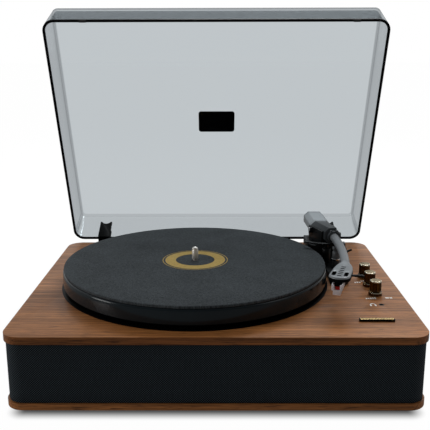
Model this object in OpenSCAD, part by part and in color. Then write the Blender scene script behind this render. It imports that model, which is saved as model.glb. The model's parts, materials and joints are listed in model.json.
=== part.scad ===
// Belt-drive record player with built-in speakers and a hinged dust cover.
// X runs across the front, Y from front to back and Z up. The origin is under
// the middle of the bounding box with the cover open, on the surface it stands on.

/* [Plinth] */
// Width of the plinth across the front
plinth_w = 400; // [390:1:420]
// Depth of the plinth from front to back
plinth_d = 320; // [316:1:330]
// Radius of the plinth's four upright corners
corner_r = 18; // [14:1:24]
// Thickness of the walnut top plate
top_t = 7.5; // [6:0.5:9]
// Thickness of the walnut bottom plate
bottom_t = 6.5; // [5:0.5:8]
// Height of the cloth band between the two plates
band_h = 59.8; // [58:0.1:66]
// Height of each foot
foot_h = 8; // [6:0.5:10]
// Radius of each foot
foot_r = 17; // [14:0.5:20]
// Distance from the plinth's edge to a foot's centre
foot_inset = 27.5; // [24:0.5:32]

/* [Platter] */
// Radius of the platter
platter_r = 148; // [146:0.5:149]
// Height of the platter's side
platter_h = 15.9; // [15:0.1:17]
// Gap between the top plate and the platter's side
platter_gap = 5; // [4.5:0.1:6]
// Radius of the felt mat
mat_r = 146.5; // [140:0.5:147]
// Thickness of the felt mat
mat_t = 3; // [2:0.5:4]
// Spindle's place across the plinth, from its middle
spindle_x = -24; // [-26:0.5:-22]
// Spindle's place along the plinth, from its middle
spindle_y = 3; // [1:0.5:5]
// Radius of the centre spindle, to suit the standard record hole
spindle_r = 3.55; // [3.52:0.01:3.58]
// Height of the spindle above the mat
spindle_rise = 15.5; // [12:0.5:16]

/* [Tonearm] */
// Arm pivot's place across the plinth, from its middle
pivot_x = 135; // [134:0.5:136]
// Arm pivot's place along the plinth, from its middle
pivot_y = 84; // [83:0.5:85]
// Height of the arm's tilt axis above the top plate
pivot_rise = 37.5; // [37:0.1:38]
// Radius of the arm tube
tube_r = 5.1; // [4.8:0.1:5.4]
// Radius of the arm tube's bend
tube_bend = 560; // [520:10:620]
// Angle of the headshell to the arm
head_angle = 18.4; // [16:0.1:20]

/* [Controls] */
// Radius of each knob's grip
knob_r = 6.15; // [5.5:0.05:6.5]
// Height of each knob above the top plate
knob_h = 16.2; // [14:0.1:18]
// Distance between neighbouring knobs
knob_pitch = 29.2; // [24:0.1:30]

/* [Dust cover] */
// Width of the dust cover
cover_w = 394; // [390:1:396]
// Depth of the dust cover, from rear wall to front wall
cover_d = 311.8; // [310:0.1:314]
// Inside height of the dust cover
cover_h = 48.1; // [48:0.1:52]
// Wall thickness of the dust cover
cover_t = 3; // [2.4:0.1:3.2]
// Angle that the cover stands open at
cover_open = 67.6; // [50:0.1:75]

/* [Hidden] */
$fn = 64;
// A cut reaches this far past the face it cuts
over = 1;
// Gap all round a shaft that turns or slides in its bore
running = 0.05;
// Gap all round a screw or a fixed insert in its hole
loose = 0.1;

// Heights of the plinth's levels
bottom_z = foot_h;
band_z = bottom_z + bottom_t;
plate_z = band_z + band_h;
deck_z = plate_z + top_t;

// Cabinet walls and their cloth, as insets from the plates' outline
cloth_inset = 1.8;
wall_inset = 3;
wall_t = 9;
wall_mid = wall_inset + wall_t / 2;
seam_x = plinth_w / 2 - 30;
front_wall_y = -plinth_d / 2 + wall_inset;
back_wall_y = plinth_d / 2 - wall_inset;
screw_x = 100;
screw_y = 90;

// Platter levels
platter_z = deck_z + platter_gap;
platter_top = platter_z + platter_h;
mat_top = platter_top + mat_t;
disc_t = 3;
skirt_t = 4;
drive_ring_r = 95;
hub_r = 12;
hub_z = deck_z + 3.2;
rim_round = 3;

// Main bearing
housing_r = 14;
bush_r = 7;
bearing_z = 58;
bearing_floor = 2;
ball_r = 2.5;
flange_t = 2.2;
// Just above the mat the spindle steps down to this shaft
shaft_r = 3;
spindle_step = 0.5;

// Drive
pulley_r = 4.5;
pulley_dist = 118;
pulley_angle = 150;
pulley_x = spindle_x + pulley_dist * cos(pulley_angle);
pulley_y = spindle_y + pulley_dist * sin(pulley_angle);
pulley_z = deck_z + 4.7;
motor_shaft_r = 1;
motor_r = 17;
motor_h = 20;
motor_plate_t = 2;
belt_t = 0.6;
belt_w = 5;
belt_gap = 0.3;
belt_z = platter_z + 3;
motor_screw_x = 21;

// Speakers
speaker_x = 125;
speaker_z = band_z + band_h / 2;
speaker_hole_r = 23;
speaker_y = front_wall_y + wall_t;

// Controls
knob_x = 171;
knob_ys = [-46.4, -46.4 + knob_pitch, -46.4 + 2 * knob_pitch];
knob_lift = 0.5;
skirt_r = 7.4;
pot_shaft_r = 2.95;
pot_neck_r = 3.45;
jack_y = -76.6;
jack_r = 1.8;
jack_nose_r = 2.8;

// Rear sockets
inlet_x = -140;
line_out_xs = [-112, -96];
socket_z = 44;

// Tonearm
pivot_z = deck_z + pivot_rise;
pedestal_h = 24.2;
pedestal_z = deck_z + pedestal_h;
tongue_h = 8.2;
tongue_z = deck_z + tongue_h;
base_clear_r = platter_r + 4.5;
arm_shaft_r = 3;
arm_bush_r = 8;
house_x = -3.8;
house_w = 25;
house_h = 19.4;
house_front = -28;
house_back = 7;
house_yaw = 1.9;
nose_x = 4.6;
nose_w = 17;
cheek_t = 2;
weight_front = 7.6;
weight_back = 63;
stub_r = 4;
tube_front = -147;
tube_back = -16;
tube_mid = -58;
tube_bulge = 6.7;
collar_x = tube_bulge - 0.6;
collar_gap = 0.9;
collar_l = 6.5;
neck_x = -0.6;
head_h = 5;
head_top = deck_z + 40.2;
head_w = 10.9;
head_len = 38;
neck_w = 5.6;
neck_len = 18;
lift_bar_y = 32;
lift_bar_r = 1.1;
rest_x = 5;
rest_y = -59;
rest_r = 4.5;
lift_r = 40;
lift_gap = 0.7;
lift_angle = 5;
lever_y = -18;
lever_z = deck_z + 15.2;

// Dust cover and its hinges
rim_z = deck_z + 1.2;
cover_back = 159;
cover_r = 14;
corner_taper = 6.5;
side_draft = 1.7;
front_draft = 3.8;
back_draft = 3.8;
hinge_x = 156.5;
hinge_y = 165.34;
hinge_z = 73.34;
knuckle_r = 5;
knuckle_w = 12;
pin_r = 2;
leaf_w = 16;

// The open cover leans out behind the plinth, so the plinth sits forward of
// the origin by half of that overhang
edge_y = cover_back - back_draft - cover_t - hinge_y;
edge_z = rim_z + cover_h - hinge_z;
overhang = hinge_y + edge_y * cos(cover_open) + edge_z * sin(cover_open) + cover_t;
deck_y = -(overhang - plinth_d / 2) / 2;

// ---- Shared shapes and places ----

// Everything is drawn about the plinth's own middle, then set here
module on_deck() {
    translate([0, deck_y, 0]) children();
}

// A rectangle with round corners, centred
module round_rect(w, d, r) {
    square([w - 2 * r, d], center = true);
    square([w, d - 2 * r], center = true);
    for (sx = [-1, 1], sy = [-1, 1]) {
        translate([sx * (w / 2 - r), sy * (d / 2 - r)]) circle(r);
    }
}

// The plinth's outline, moved in by inset
module outline(inset) {
    round_rect(plinth_w - 2 * inset, plinth_d - 2 * inset, corner_r - inset);
}

// A slot with round ends along X, centred
module slot_2d(length, width) {
    square([length - width, width], center = true);
    for (s = [-1, 1]) {
        translate([s * (length - width) / 2, 0]) circle(width / 2);
    }
}

// An octagonal section in X and Z, for a prism along Y
module octagon_prism(w, h, chamfer, y0, y1) {
    a = w / 2;
    b = h / 2;
    points = [
        [a - chamfer, -b], [a, chamfer - b], [a, b - chamfer], [a - chamfer, b],
        [chamfer - a, b], [-a, b - chamfer], [-a, chamfer - b], [chamfer - a, -b]
    ];
    translate([0, y1, 0]) rotate([90, 0, 0]) linear_extrude(y1 - y0) polygon(points);
}

module at_spindle() {
    on_deck() translate([spindle_x, spindle_y, 0]) children();
}

module at_pulley() {
    on_deck() translate([pulley_x, pulley_y, 0]) children();
}

module at_pivot() {
    on_deck() translate([pivot_x, pivot_y, 0]) children();
}

// The counterweight's axis lies beside the pivot and points a little off the arm's line
module at_housing() {
    at_pivot() translate([house_x, 0, pivot_z]) rotate([0, 0, house_yaw]) children();
}

// The headshell's frame: Y runs forward from the arm's neck
module at_head() {
    at_pivot() translate([neck_x, tube_front, 0]) rotate([0, 0, 180 - head_angle]) children();
}

// The cover's frame: children are drawn with the cover shut
module on_cover() {
    on_deck() translate([0, hinge_y, hinge_z]) rotate([-cover_open, 0, 0])
        translate([0, -hinge_y, -hinge_z]) children();
}

// The eight places where the bottom plate is screwed to the walls
module at_base_screws() {
    for (s = [-1, 1], t = [-1, 1]) {
        translate([s * (plinth_w / 2 - wall_mid), t * screw_y, 0]) children();
        translate([s * screw_x, t * (plinth_d / 2 - wall_mid), 0]) children();
    }
}

// ---- Plinth ----

module top_plate() {
    color("peru") on_deck() difference() {
        translate([0, 0, plate_z]) linear_extrude(top_t) outline(0);
        translate([0, 0, plate_z - over]) linear_extrude(top_t + 2 * over) {
            translate([spindle_x, spindle_y]) circle(housing_r + loose);
            translate([pulley_x, pulley_y]) circle(11);
            translate([pivot_x, pivot_y]) circle(arm_bush_r);
            translate([knob_x, jack_y]) circle(jack_nose_r + loose);
            for (y = knob_ys) {
                translate([knob_x, y]) circle(pot_neck_r + loose);
            }
        }
    }
}

module bottom_plate() {
    color("peru") on_deck() difference() {
        translate([0, 0, bottom_z]) linear_extrude(bottom_t) outline(0);
        at_base_screws() {
            translate([0, 0, bottom_z - over]) cylinder(r = 1.5 + loose, h = bottom_t + 2 * over);
            translate([0, 0, bottom_z - over]) cylinder(r = 3.5 + loose, h = 2.5 + over);
        }
    }
}

// The cabinet's walls, before they are cut at the seams
module wall_ring() {
    difference() {
        translate([0, 0, band_z]) linear_extrude(band_h) difference() {
            outline(wall_inset);
            outline(wall_inset + wall_t);
        }
        at_base_screws() translate([0, 0, band_z - over]) cylinder(r = 1.5 + loose, h = 16 + over);
    }
}

// The part of the wall ring between two X and two Y limits
module wall_part(x0, x1, y0, y1) {
    intersection() {
        wall_ring();
        translate([x0, y0, band_z - over]) cube([x1 - x0, y1 - y0, band_h + 2 * over]);
    }
}

module front_baffle() {
    color("dimgray") on_deck() difference() {
        wall_part(-seam_x, seam_x, -plinth_d, 0);
        for (s = [-1, 1]) {
            translate([s * speaker_x, speaker_y + over, speaker_z]) rotate([90, 0, 0])
                cylinder(r = speaker_hole_r, h = wall_t + 2 * over);
        }
    }
}

module left_panel() {
    color("dimgray") on_deck() wall_part(-plinth_w, -seam_x, -plinth_d, plinth_d);
}

module right_panel() {
    color("dimgray") on_deck() wall_part(seam_x, plinth_w, -plinth_d, plinth_d);
}

module back_panel() {
    color("dimgray") on_deck() difference() {
        wall_part(-seam_x, seam_x, 0, plinth_d);
        translate([inlet_x, back_wall_y - wall_t - over, socket_z]) rotate([-90, 0, 0])
            cylinder(r = 5.5 + loose, h = wall_t + 2 * over);
        for (x = line_out_xs) {
            translate([x, back_wall_y - wall_t - over, socket_z]) rotate([-90, 0, 0])
                cylinder(r = 5.5 + loose, h = wall_t + 2 * over);
        }
    }
}

// The cloth wraps the front and both sides, and ends at the rear corners
module grille_cloth() {
    color("#151b20") on_deck() translate([0, 0, band_z]) linear_extrude(band_h) difference() {
        outline(cloth_inset);
        outline(wall_inset);
        translate([-plinth_w / 2, plinth_d / 2 - corner_r]) square([plinth_w, corner_r]);
    }
}

module at_feet() {
    on_deck() for (sx = [-1, 1], sy = [-1, 1]) {
        translate([sx * (plinth_w / 2 - foot_inset), sy * (plinth_d / 2 - foot_inset), 0]) children();
    }
}

module feet() {
    color("silver") at_feet() difference() {
        translate([0, 0, 1]) cylinder(r = foot_r, h = foot_h - 1);
        translate([0, 0, 1 - over]) cylinder(r = foot_r - 4 + loose, h = 1.5 + over);
    }
}

module foot_pads() {
    color("#202020") at_feet() cylinder(r = foot_r - 4, h = 2.5);
}

module base_screws() {
    color("gray") on_deck() at_base_screws() {
        translate([0, 0, bottom_z + 0.5]) cylinder(r = 3.5, h = 2);
        translate([0, 0, bottom_z + 2.5]) cylinder(r = 1.5, h = 16);
    }
}

module badge() {
    color("goldenrod") on_deck() translate([156.4, -120.4, deck_z]) linear_extrude(2.6)
        round_rect(34.4, 5, 0.8);
}

// ---- Main bearing ----

module bearing_housing() {
    color("silver") at_spindle() difference() {
        union() {
            translate([0, 0, bearing_z]) cylinder(r = housing_r, h = deck_z + flange_t - bearing_z);
            translate([0, 0, deck_z]) cylinder(r = housing_r + 8, h = flange_t);
        }
        translate([0, 0, bearing_z + bearing_floor])
            cylinder(r = bush_r + running, h = deck_z + flange_t);
    }
}

module bearing_bush() {
    color("goldenrod") at_spindle() difference() {
        translate([0, 0, bearing_z + bearing_floor])
            cylinder(r = bush_r, h = deck_z + flange_t - bearing_z - bearing_floor);
        translate([0, 0, bearing_z]) cylinder(r = shaft_r + running, h = deck_z);
    }
}

module thrust_ball() {
    color("silver") at_spindle()
        translate([0, 0, bearing_z + bearing_floor + ball_r]) sphere(ball_r);
}

// ---- Drive ----

module motor_can() {
    color("silver") at_pulley() difference() {
        translate([0, 0, plate_z - motor_plate_t - motor_h]) cylinder(r = motor_r, h = motor_h);
        translate([0, 0, plate_z - motor_plate_t - motor_h + 2])
            cylinder(r = motor_shaft_r + running, h = motor_h);
    }
}

module motor_plate() {
    color("gray") at_pulley() translate([0, 0, plate_z - motor_plate_t])
        linear_extrude(motor_plate_t) difference() {
            round_rect(54, 36, 5);
            circle(6);
            for (s = [-1, 1]) {
                translate([s * motor_screw_x, 0]) circle(1.6);
            }
        }
}

module motor_screws() {
    color("gray") at_pulley() for (s = [-1, 1]) {
        translate([s * motor_screw_x, 0, plate_z - motor_plate_t]) cylinder(r = 1.5, h = motor_plate_t);
        translate([s * motor_screw_x, 0, plate_z - motor_plate_t - 2]) cylinder(r = 3, h = 2);
    }
}

module motor_shaft() {
    color("silver") at_pulley() translate([0, 0, plate_z - motor_plate_t - motor_h + 3])
        cylinder(r = motor_shaft_r, h = pulley_z + 9 - (plate_z - motor_plate_t - motor_h + 3));
}

// A crowned groove between two flanges
module motor_pulley() {
    profile = [
        [motor_shaft_r + running, 0], [pulley_r + 1.5, 0], [pulley_r + 1.5, 1], [pulley_r, 1],
        [pulley_r, 9], [pulley_r + 1.5, 9], [pulley_r + 1.5, 10], [motor_shaft_r + running, 10]
    ];
    color("goldenrod") at_pulley() translate([0, 0, pulley_z]) rotate_extrude() polygon(profile);
}

// The loop round two circles on the X axis, as a filled shape
module belt_loop(r_big, r_small) {
    a = acos((r_big - r_small) / pulley_dist);
    circle(r_big);
    translate([pulley_dist, 0]) circle(r_small);
    polygon([
        r_big * [cos(a), sin(a)], [pulley_dist, 0] + r_small * [cos(a), sin(a)],
        [pulley_dist, 0] + r_small * [cos(a), -sin(a)], r_big * [cos(a), -sin(a)]
    ]);
}

module drive_belt() {
    color("#181818") at_spindle() translate([0, 0, belt_z]) rotate([0, 0, pulley_angle])
        linear_extrude(belt_w) difference() {
            belt_loop(drive_ring_r + belt_gap + belt_t, pulley_r + belt_gap + belt_t);
            belt_loop(drive_ring_r + belt_gap, pulley_r + belt_gap);
        }
}

// ---- Speakers and electronics ----

// Basket and magnet, drawn about Z with the baffle's rear face at 0
module speaker_frame() {
    basket = [
        [23.2, 0], [27.5, 0], [27.5, 2.5], [25, 2.5], [15, 17], [18, 17], [18, 29],
        [0, 29], [0, 18.5], [12.5, 18.5], [12.5, 16.5], [23.2, 1.5]
    ];
    rotate_extrude() polygon(basket);
}

// Surround, paper cone and dust cap as one thin skin
module speaker_cone() {
    skin = [
        [0, 8.5], [7, 11.5], [19, 0.4], [22.6, 0.4], [22.6, 1.4], [19.4, 1.4], [7, 13], [0, 10]
    ];
    rotate_extrude() polygon(skin);
}

module at_speaker(side) {
    on_deck() translate([side * speaker_x, speaker_y, speaker_z]) rotate([-90, 0, 0]) children();
}

module left_speaker() {
    color("dimgray") at_speaker(-1) speaker_frame();
}

module right_speaker() {
    color("dimgray") at_speaker(1) speaker_frame();
}

module speaker_cones() {
    color("#252525") for (side = [-1, 1]) {
        at_speaker(side) speaker_cone();
    }
}

// Amplifier board on four stand-offs, behind the rear sockets
module main_board() {
    color("darkgreen") on_deck() translate([-110, 100, band_z]) {
        translate([0, 0, 8]) linear_extrude(1.6) round_rect(110, 70, 3);
        for (sx = [-1, 1], sy = [-1, 1]) {
            translate([sx * 50, sy * 30, 0]) cylinder(r = 3, h = 8);
        }
        translate([20, 10, 9.6]) cylinder(r = 8, h = 20);
        translate([-10, -15, 9.6]) cube([30, 12, 18]);
    }
}

// Narrow board that carries the three controls
module control_board() {
    color("darkgreen") on_deck() translate([knob_x - 11, jack_y - 10, plate_z - 14])
        cube([22, 110, 1.6]);
}

// Potentiometers: a can, and a threaded neck through the top plate
module control_pots() {
    color("silver") on_deck() for (y = knob_ys) {
        translate([knob_x, y, 0]) difference() {
            union() {
                translate([0, 0, plate_z - 12.4]) cylinder(r = 8.5, h = 12.4);
                translate([0, 0, plate_z]) cylinder(r = pot_neck_r, h = top_t + 0.2);
            }
            translate([0, 0, plate_z - 10]) cylinder(r = pot_shaft_r + running, h = 30);
        }
    }
}

module headphone_jack() {
    color("#151515") on_deck() translate([knob_x, jack_y, 0]) difference() {
        union() {
            translate([-6, -6, plate_z - 12.4]) cube([12, 12, 12.4]);
            translate([0, 0, plate_z]) cylinder(r = jack_nose_r, h = top_t);
        }
        translate([0, 0, deck_z - 15]) cylinder(r = jack_r, h = 15 + over);
    }
}

// Barrel power inlet with its centre contact
module dc_inlet() {
    color("#151515") on_deck() translate([inlet_x, back_wall_y, socket_z]) rotate([-90, 0, 0]) {
        difference() {
            union() {
                translate([0, 0, -14]) cylinder(r = 5.5, h = 14);
                cylinder(r = 8, h = 1.5);
            }
            translate([0, 0, -10]) cylinder(r = 2.75, h = 12);
        }
        translate([0, 0, -10]) cylinder(r = 1, h = 9.5);
    }
}

// Two phono sockets for an outside amplifier
module line_out_sockets() {
    color("gold") on_deck() for (x = line_out_xs) {
        translate([x, back_wall_y, socket_z]) rotate([-90, 0, 0]) difference() {
            union() {
                translate([0, 0, -14]) cylinder(r = 5.5, h = 14);
                cylinder(r = 6.5, h = 1.5);
                cylinder(r = 4.15, h = 10);
            }
            translate([0, 0, -4]) cylinder(r = 1.65, h = 14 + over);
        }
    }
}

// ---- Platter ----

// Section of the platter: hub, disc, drive ring and skirt with a round rim
module platter() {
    function rim(a) = [
        platter_r - rim_round + rim_round * cos(a), platter_top - rim_round + rim_round * sin(a)
    ];
    section = concat(
        [[shaft_r + running, hub_z], [hub_r, hub_z], [hub_r, platter_top - disc_t]],
        [[drive_ring_r - 4, platter_top - disc_t], [drive_ring_r - 4, platter_z + 1.5]],
        [[drive_ring_r, platter_z + 1.5], [drive_ring_r, platter_top - disc_t]],
        [[platter_r - skirt_t, platter_top - disc_t], [platter_r - skirt_t, platter_z]],
        [[platter_r, platter_z]],
        [for (a = [0:15:90]) rim(a)],
        [[shaft_r + running, platter_top]]
    );
    color("#141618") at_spindle() rotate_extrude($fn = 128) polygon(section);
}

module platter_mat() {
    color("#3a3f42") at_spindle() translate([0, 0, platter_top]) difference() {
        cylinder(r = mat_r, h = mat_t, $fn = 128);
        translate([0, 0, -over]) cylinder(r = spindle_r + loose, h = mat_t + 2 * over);
        translate([0, 0, mat_t - 0.2]) difference() {
            cylinder(r = 34, h = 1);
            translate([0, 0, -over]) cylinder(r = 22, h = 1 + 2 * over);
        }
    }
}

// A plain printed band round the spindle, flush with the felt
module mat_emblem() {
    color("#88703f") at_spindle() translate([0, 0, mat_top - 0.2]) difference() {
        cylinder(r = 34, h = 0.2);
        translate([0, 0, -over]) cylinder(r = 22, h = 0.2 + 2 * over);
    }
}

module spindle() {
    foot = bearing_z + bearing_floor + 2 * ball_r + 0.02;
    top = mat_top + spindle_rise - spindle_r;
    color("silver") at_spindle() {
        translate([0, 0, foot]) cylinder(r = shaft_r, h = mat_top + spindle_step - foot);
        translate([0, 0, mat_top + spindle_step]) cylinder(r = spindle_r, h = top - mat_top - spindle_step);
        translate([0, 0, top]) sphere(spindle_r);
    }
}

// ---- Tonearm base ----

// Pedestal under the pivot, and a low tongue forward to the arm's rest. Both
// are cut back to a circle that clears the platter.
module arm_base() {
    color("#1c1d1f") on_deck() difference() {
        union() {
            translate([112, 62, deck_z]) cube([44, 46, pedestal_h]);
            translate([126, -6, deck_z]) cube([24, 68, tongue_h]);
            translate([138, -6, deck_z]) cylinder(r = 12, h = tongue_h);
        }
        translate([spindle_x, spindle_y, deck_z - over]) cylinder(r = base_clear_r, h = 40, $fn = 128);
        translate([pivot_x, pivot_y, deck_z - over]) cylinder(r = arm_bush_r, h = 40);
        translate([148, pivot_y + lever_y, lever_z]) rotate([0, 90, 0])
            cylinder(r = 2.5 + running, h = 20);
    }
}

module arm_bush() {
    color("goldenrod") at_pivot() difference() {
        translate([0, 0, plate_z]) cylinder(r = arm_bush_r - loose, h = pedestal_z - plate_z);
        translate([0, 0, plate_z - over]) cylinder(r = arm_shaft_r + running, h = 60);
    }
}

// Post with a round top and a bright ring, a saddle just under the tube and a stop beyond it
module arm_rest() {
    saddle_z = pivot_z - tube_r - 0.4;
    dome_z = saddle_z - 3 - rest_r + 0.5;
    color("gray") at_pivot() translate([rest_x, rest_y, 0]) {
        translate([0, 0, tongue_z]) cylinder(r = rest_r, h = dome_z - tongue_z);
        translate([0, 0, dome_z]) sphere(rest_r);
        translate([0, 0, tongue_z + 9]) cylinder(r = rest_r + 0.8, h = 1.6);
        translate([-4, -4, saddle_z - 3]) cube([13.8, 8, 3]);
        translate([7.3, -4, saddle_z]) cube([2.5, 8, 6]);
    }
}

module at_lift_rod() {
    at_pivot() rotate([0, 0, -lift_angle]) translate([0, -lift_r, 0]) children();
}

module cue_tower() {
    color("#1c1d1f") at_lift_rod() difference() {
        translate([0, 0, tongue_z]) cylinder(r = 5, h = 17);
        translate([0, 0, tongue_z + 4]) cylinder(r = 2 + running, h = 20);
    }
}

// Curved bar that raises the tube from below, on a sliding rod
module cue_platform() {
    top = pivot_z - tube_r - lift_gap;
    bar_t = 1.8;
    color("#1c1d1f") {
        at_pivot() rotate([0, 0, -134]) translate([0, 0, top - bar_t])
            rotate_extrude(angle = 52) translate([lift_r - 2.5, 0]) square([5, bar_t]);
        at_lift_rod() translate([0, 0, tongue_z + 6]) cylinder(r = 2, h = top - bar_t - tongue_z - 6);
    }
}

module cue_lever() {
    color("#1c1d1f") at_pivot() translate([0, lever_y, lever_z]) {
        translate([14, 0, 0]) rotate([0, 90, 0]) cylinder(r = 2.5, h = 7.5);
        translate([21.5, 0, 0]) rotate([0, 90, 0]) cylinder(r = 4.5, h = 3);
        translate([23, 0, 0]) rotate([-13, 0, 0]) {
            translate([-1.2, -14, -1.4]) cube([2.4, 14, 2.8]);
            translate([-1, -15, -1.2]) rotate([0, -22, 0]) cube([7.6, 3.6, 2.2]);
        }
    }
}

// ---- Moving arm ----

// Plan outline of the pivot housing, moved out by gap: straight at the right and
// tapered at the left toward the tube
module housing_plan(gap) {
    polygon([
        [house_x - house_w / 2 - gap, house_back], [house_x + house_w / 2 + gap, house_back],
        [nose_x + nose_w / 2 + gap, house_front], [nose_x - nose_w / 2 - gap, house_front]
    ]);
}

// Fork that turns about the upright axis: a floor and two cheeks beside the housing
module arm_yoke() {
    foot = pedestal_z + 0.5;
    color("#1c1d1f") at_pivot() difference() {
        union() {
            translate([0, 0, plate_z + 4]) cylinder(r = arm_shaft_r, h = foot - plate_z - 4);
            translate([0, 0, foot]) linear_extrude(2.4) intersection() {
                housing_plan(0.6 + cheek_t);
                translate([-25, -25]) square([50, 32]);
            }
            translate([0, 0, foot]) linear_extrude(pivot_z + 4.6 - foot) intersection() {
                difference() {
                    housing_plan(0.6 + cheek_t);
                    translate([0, 0.01]) housing_plan(0.6);
                    translate([0, -0.01]) housing_plan(0.6);
                }
                union() {
                    translate([-25, -25]) square([25, 32]);
                    translate([0, -9]) square([25, 16]);
                }
            }
            translate([-18.6, 0, pivot_z]) rotate([0, 90, 0]) cylinder(r = 3.6, h = 2.6);
        }
        translate([-20, 0, pivot_z]) rotate([0, 90, 0]) cylinder(r = 2 + loose, h = 40);
    }
}

// The tilt axis: a screw through each cheek into the housing
module bearing_screws() {
    color("gray") at_pivot() translate([0, 0, pivot_z]) {
        translate([-18.6, 0, 0]) rotate([0, 90, 0]) cylinder(r = 2, h = 8.6);
        translate([-20, 0, 0]) rotate([0, 90, 0]) cylinder(r = 3.2, h = 1.4);
        translate([5, 0, 0]) rotate([0, 90, 0]) cylinder(r = 2, h = 7.6);
        translate([12.6, 0, 0]) rotate([0, 90, 0]) cylinder(r = 3.2, h = 1.4);
    }
}

// The arc that the arm tube follows, as a bent bar of radius r
module bent_bar(r, y0, y1) {
    a0 = asin((y0 - tube_mid) / tube_bend);
    a1 = asin((y1 - tube_mid) / tube_bend);
    at_pivot() translate([tube_bulge - tube_bend, tube_mid, pivot_z]) rotate([0, 0, a0])
        rotate_extrude(angle = a1 - a0, $fn = 512) translate([tube_bend, 0]) circle(r, $fn = 48);
}

// One thin octagonal slice across the housing, for the hull between its ends
module housing_slice(x, w, y, sy) {
    translate([x, 0, pivot_z]) octagon_prism(w, house_h, 5, min(y, y + sy), max(y, y + sy));
}

module pivot_housing() {
    color("#26282a") {
        difference() {
            at_pivot() hull() {
                housing_slice(house_x, house_w, house_back, -0.01);
                housing_slice(nose_x, nose_w, house_front, 0.01);
            }
            bent_bar(tube_r + running, tube_back - 1, tube_back - 20);
            at_pivot() translate([-20, 0, pivot_z]) rotate([0, 90, 0])
                cylinder(r = 2 + running, h = 40);
        }
        at_housing() translate([0, house_back, 0]) rotate([-90, 0, 0]) cylinder(r = stub_r, h = 44);
        at_pivot() translate([11, -20, pivot_z - 1]) rotate([0, 90, 0]) cylinder(r = 3.2, h = 5.4);
    }
}

// Clamp round the tube's root, with two small screws in its top
module tube_collar() {
    color("#1c1d1f") difference() {
        union() {
            bent_bar(7.2, house_front - collar_gap, house_front - collar_gap - collar_l);
            at_pivot() for (t = [-1, 1]) {
                translate([collar_x + t * 3.4, house_front - 5, pivot_z + 5]) cylinder(r = 1.5, h = 3);
            }
        }
        bent_bar(tube_r + running, house_front + 1, house_front - 11);
    }
}

module counterweight() {
    color("#8f9496") at_housing() difference() {
        octagon_prism(26, 18.4, 5.2, weight_front, weight_back);
        translate([0, weight_front - over, 0]) rotate([-90, 0, 0])
            cylinder(r = stub_r + running, h = weight_back - weight_front - 4);
    }
}

module arm_tube() {
    color("#7d8183") bent_bar(tube_r, tube_front + 2, tube_back - 1);
}

// Outline of the headshell: it flares from the neck, then runs to a round front
module head_outline() {
    function flare(t) = neck_w + (head_w - 0.8 - neck_w) * sin(90 * t / neck_len);
    function front(a) = [head_w * cos(a), head_len + head_w * sin(a)];
    polygon(concat(
        [[-neck_w, -1], [neck_w, -1]],
        [for (t = [0:3:neck_len]) [flare(t), t]],
        [for (a = [0:10:180]) front(a)],
        [for (t = [neck_len:-3:0]) [-flare(t), t]]
    ));
}

// The finger lift's frame: Z runs out from the headshell's side
module at_finger_lift() {
    at_head() translate([-head_w + 2, lift_bar_y, head_top - 1.8]) rotate([0, -90, 6]) children();
}

module headshell() {
    color("#8b8f91") difference() {
        union() {
            at_head() translate([0, 0, head_top - head_h]) linear_extrude(head_h) head_outline();
            at_pivot() translate([neck_x + 0.4, tube_front + 7, pivot_z]) rotate([90, 0, 0])
                cylinder(r = 5.9, h = 9);
        }
        bent_bar(tube_r + running, tube_front + 1.5, tube_front + 20);
        at_finger_lift() translate([0, 0, -0.2]) cylinder(r = lift_bar_r + loose, h = 6);
        at_head() translate([0, 0, head_top - head_h - over]) linear_extrude(head_h + 2 * over) {
            for (s = [-1, 1]) {
                translate([s * 6.1, 35.5]) rotate([0, 0, 90]) slot_2d(10.5, 3.4);
            }
            for (t = [10:5.8:40]) {
                translate([0, t]) slot_2d(4.6, 1.8);
            }
        }
    }
}

// Thin bar from the headshell's outer side, with a flattened tip
module finger_lift() {
    color("#17181a") at_finger_lift() {
        cylinder(r = lift_bar_r, h = 12);
        translate([-0.9, -1.6, 8.2]) cube([1.8, 3.2, 5.4]);
    }
}

module cartridge() {
    bottom = head_top - head_h - 8;
    color("#141414") at_head() {
        translate([-5, 24, bottom]) cube([10, 12, 8]);
        translate([-3.8, 36, bottom]) cube([7.6, 8, 8]);
        translate([-2.4, 44, bottom + 3.6]) cube([4.8, 4, 4.3]);
    }
}

// Stylus holder, cantilever and tip
module stylus() {
    bottom = head_top - head_h - 8;
    color("red") at_head() {
        translate([-2.3, 38, bottom - 1.6]) cube([4.6, 10, 1.6]);
        translate([-2.3, 44, bottom - 0.2]) cube([4.6, 4, 3.7]);
        translate([0, 46.5, bottom - 2.2]) cylinder(r = 0.4, h = 0.6);
    }
}

// Clear slide-on guard: wide collar above, narrow shoe below, open behind and
// notched in front, where the stylus holder shows
module stylus_guard() {
    bottom = mat_top + 0.5;
    color("#dfe4e6") at_head() translate([0, 0, bottom]) difference() {
        union() {
            translate([-5.2, 37, 4.4]) cube([10.4, 18, 6.2]);
            translate([-3.7, 44.6, 0]) cube([7.4, 10.4, 5]);
        }
        translate([-4.3, 36, 5.2]) cube([8.6, 18.2, 8]);
        translate([-4.3, 36, 4.2]) cube([8.6, 8.6, 8]);
        translate([-2.9, 43, 0.4]) cube([5.8, 11.2, 8]);
        translate([-2.9, 53, 5.4]) cube([5.8, 4, 8]);
    }
}

// ---- Controls ----

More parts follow.
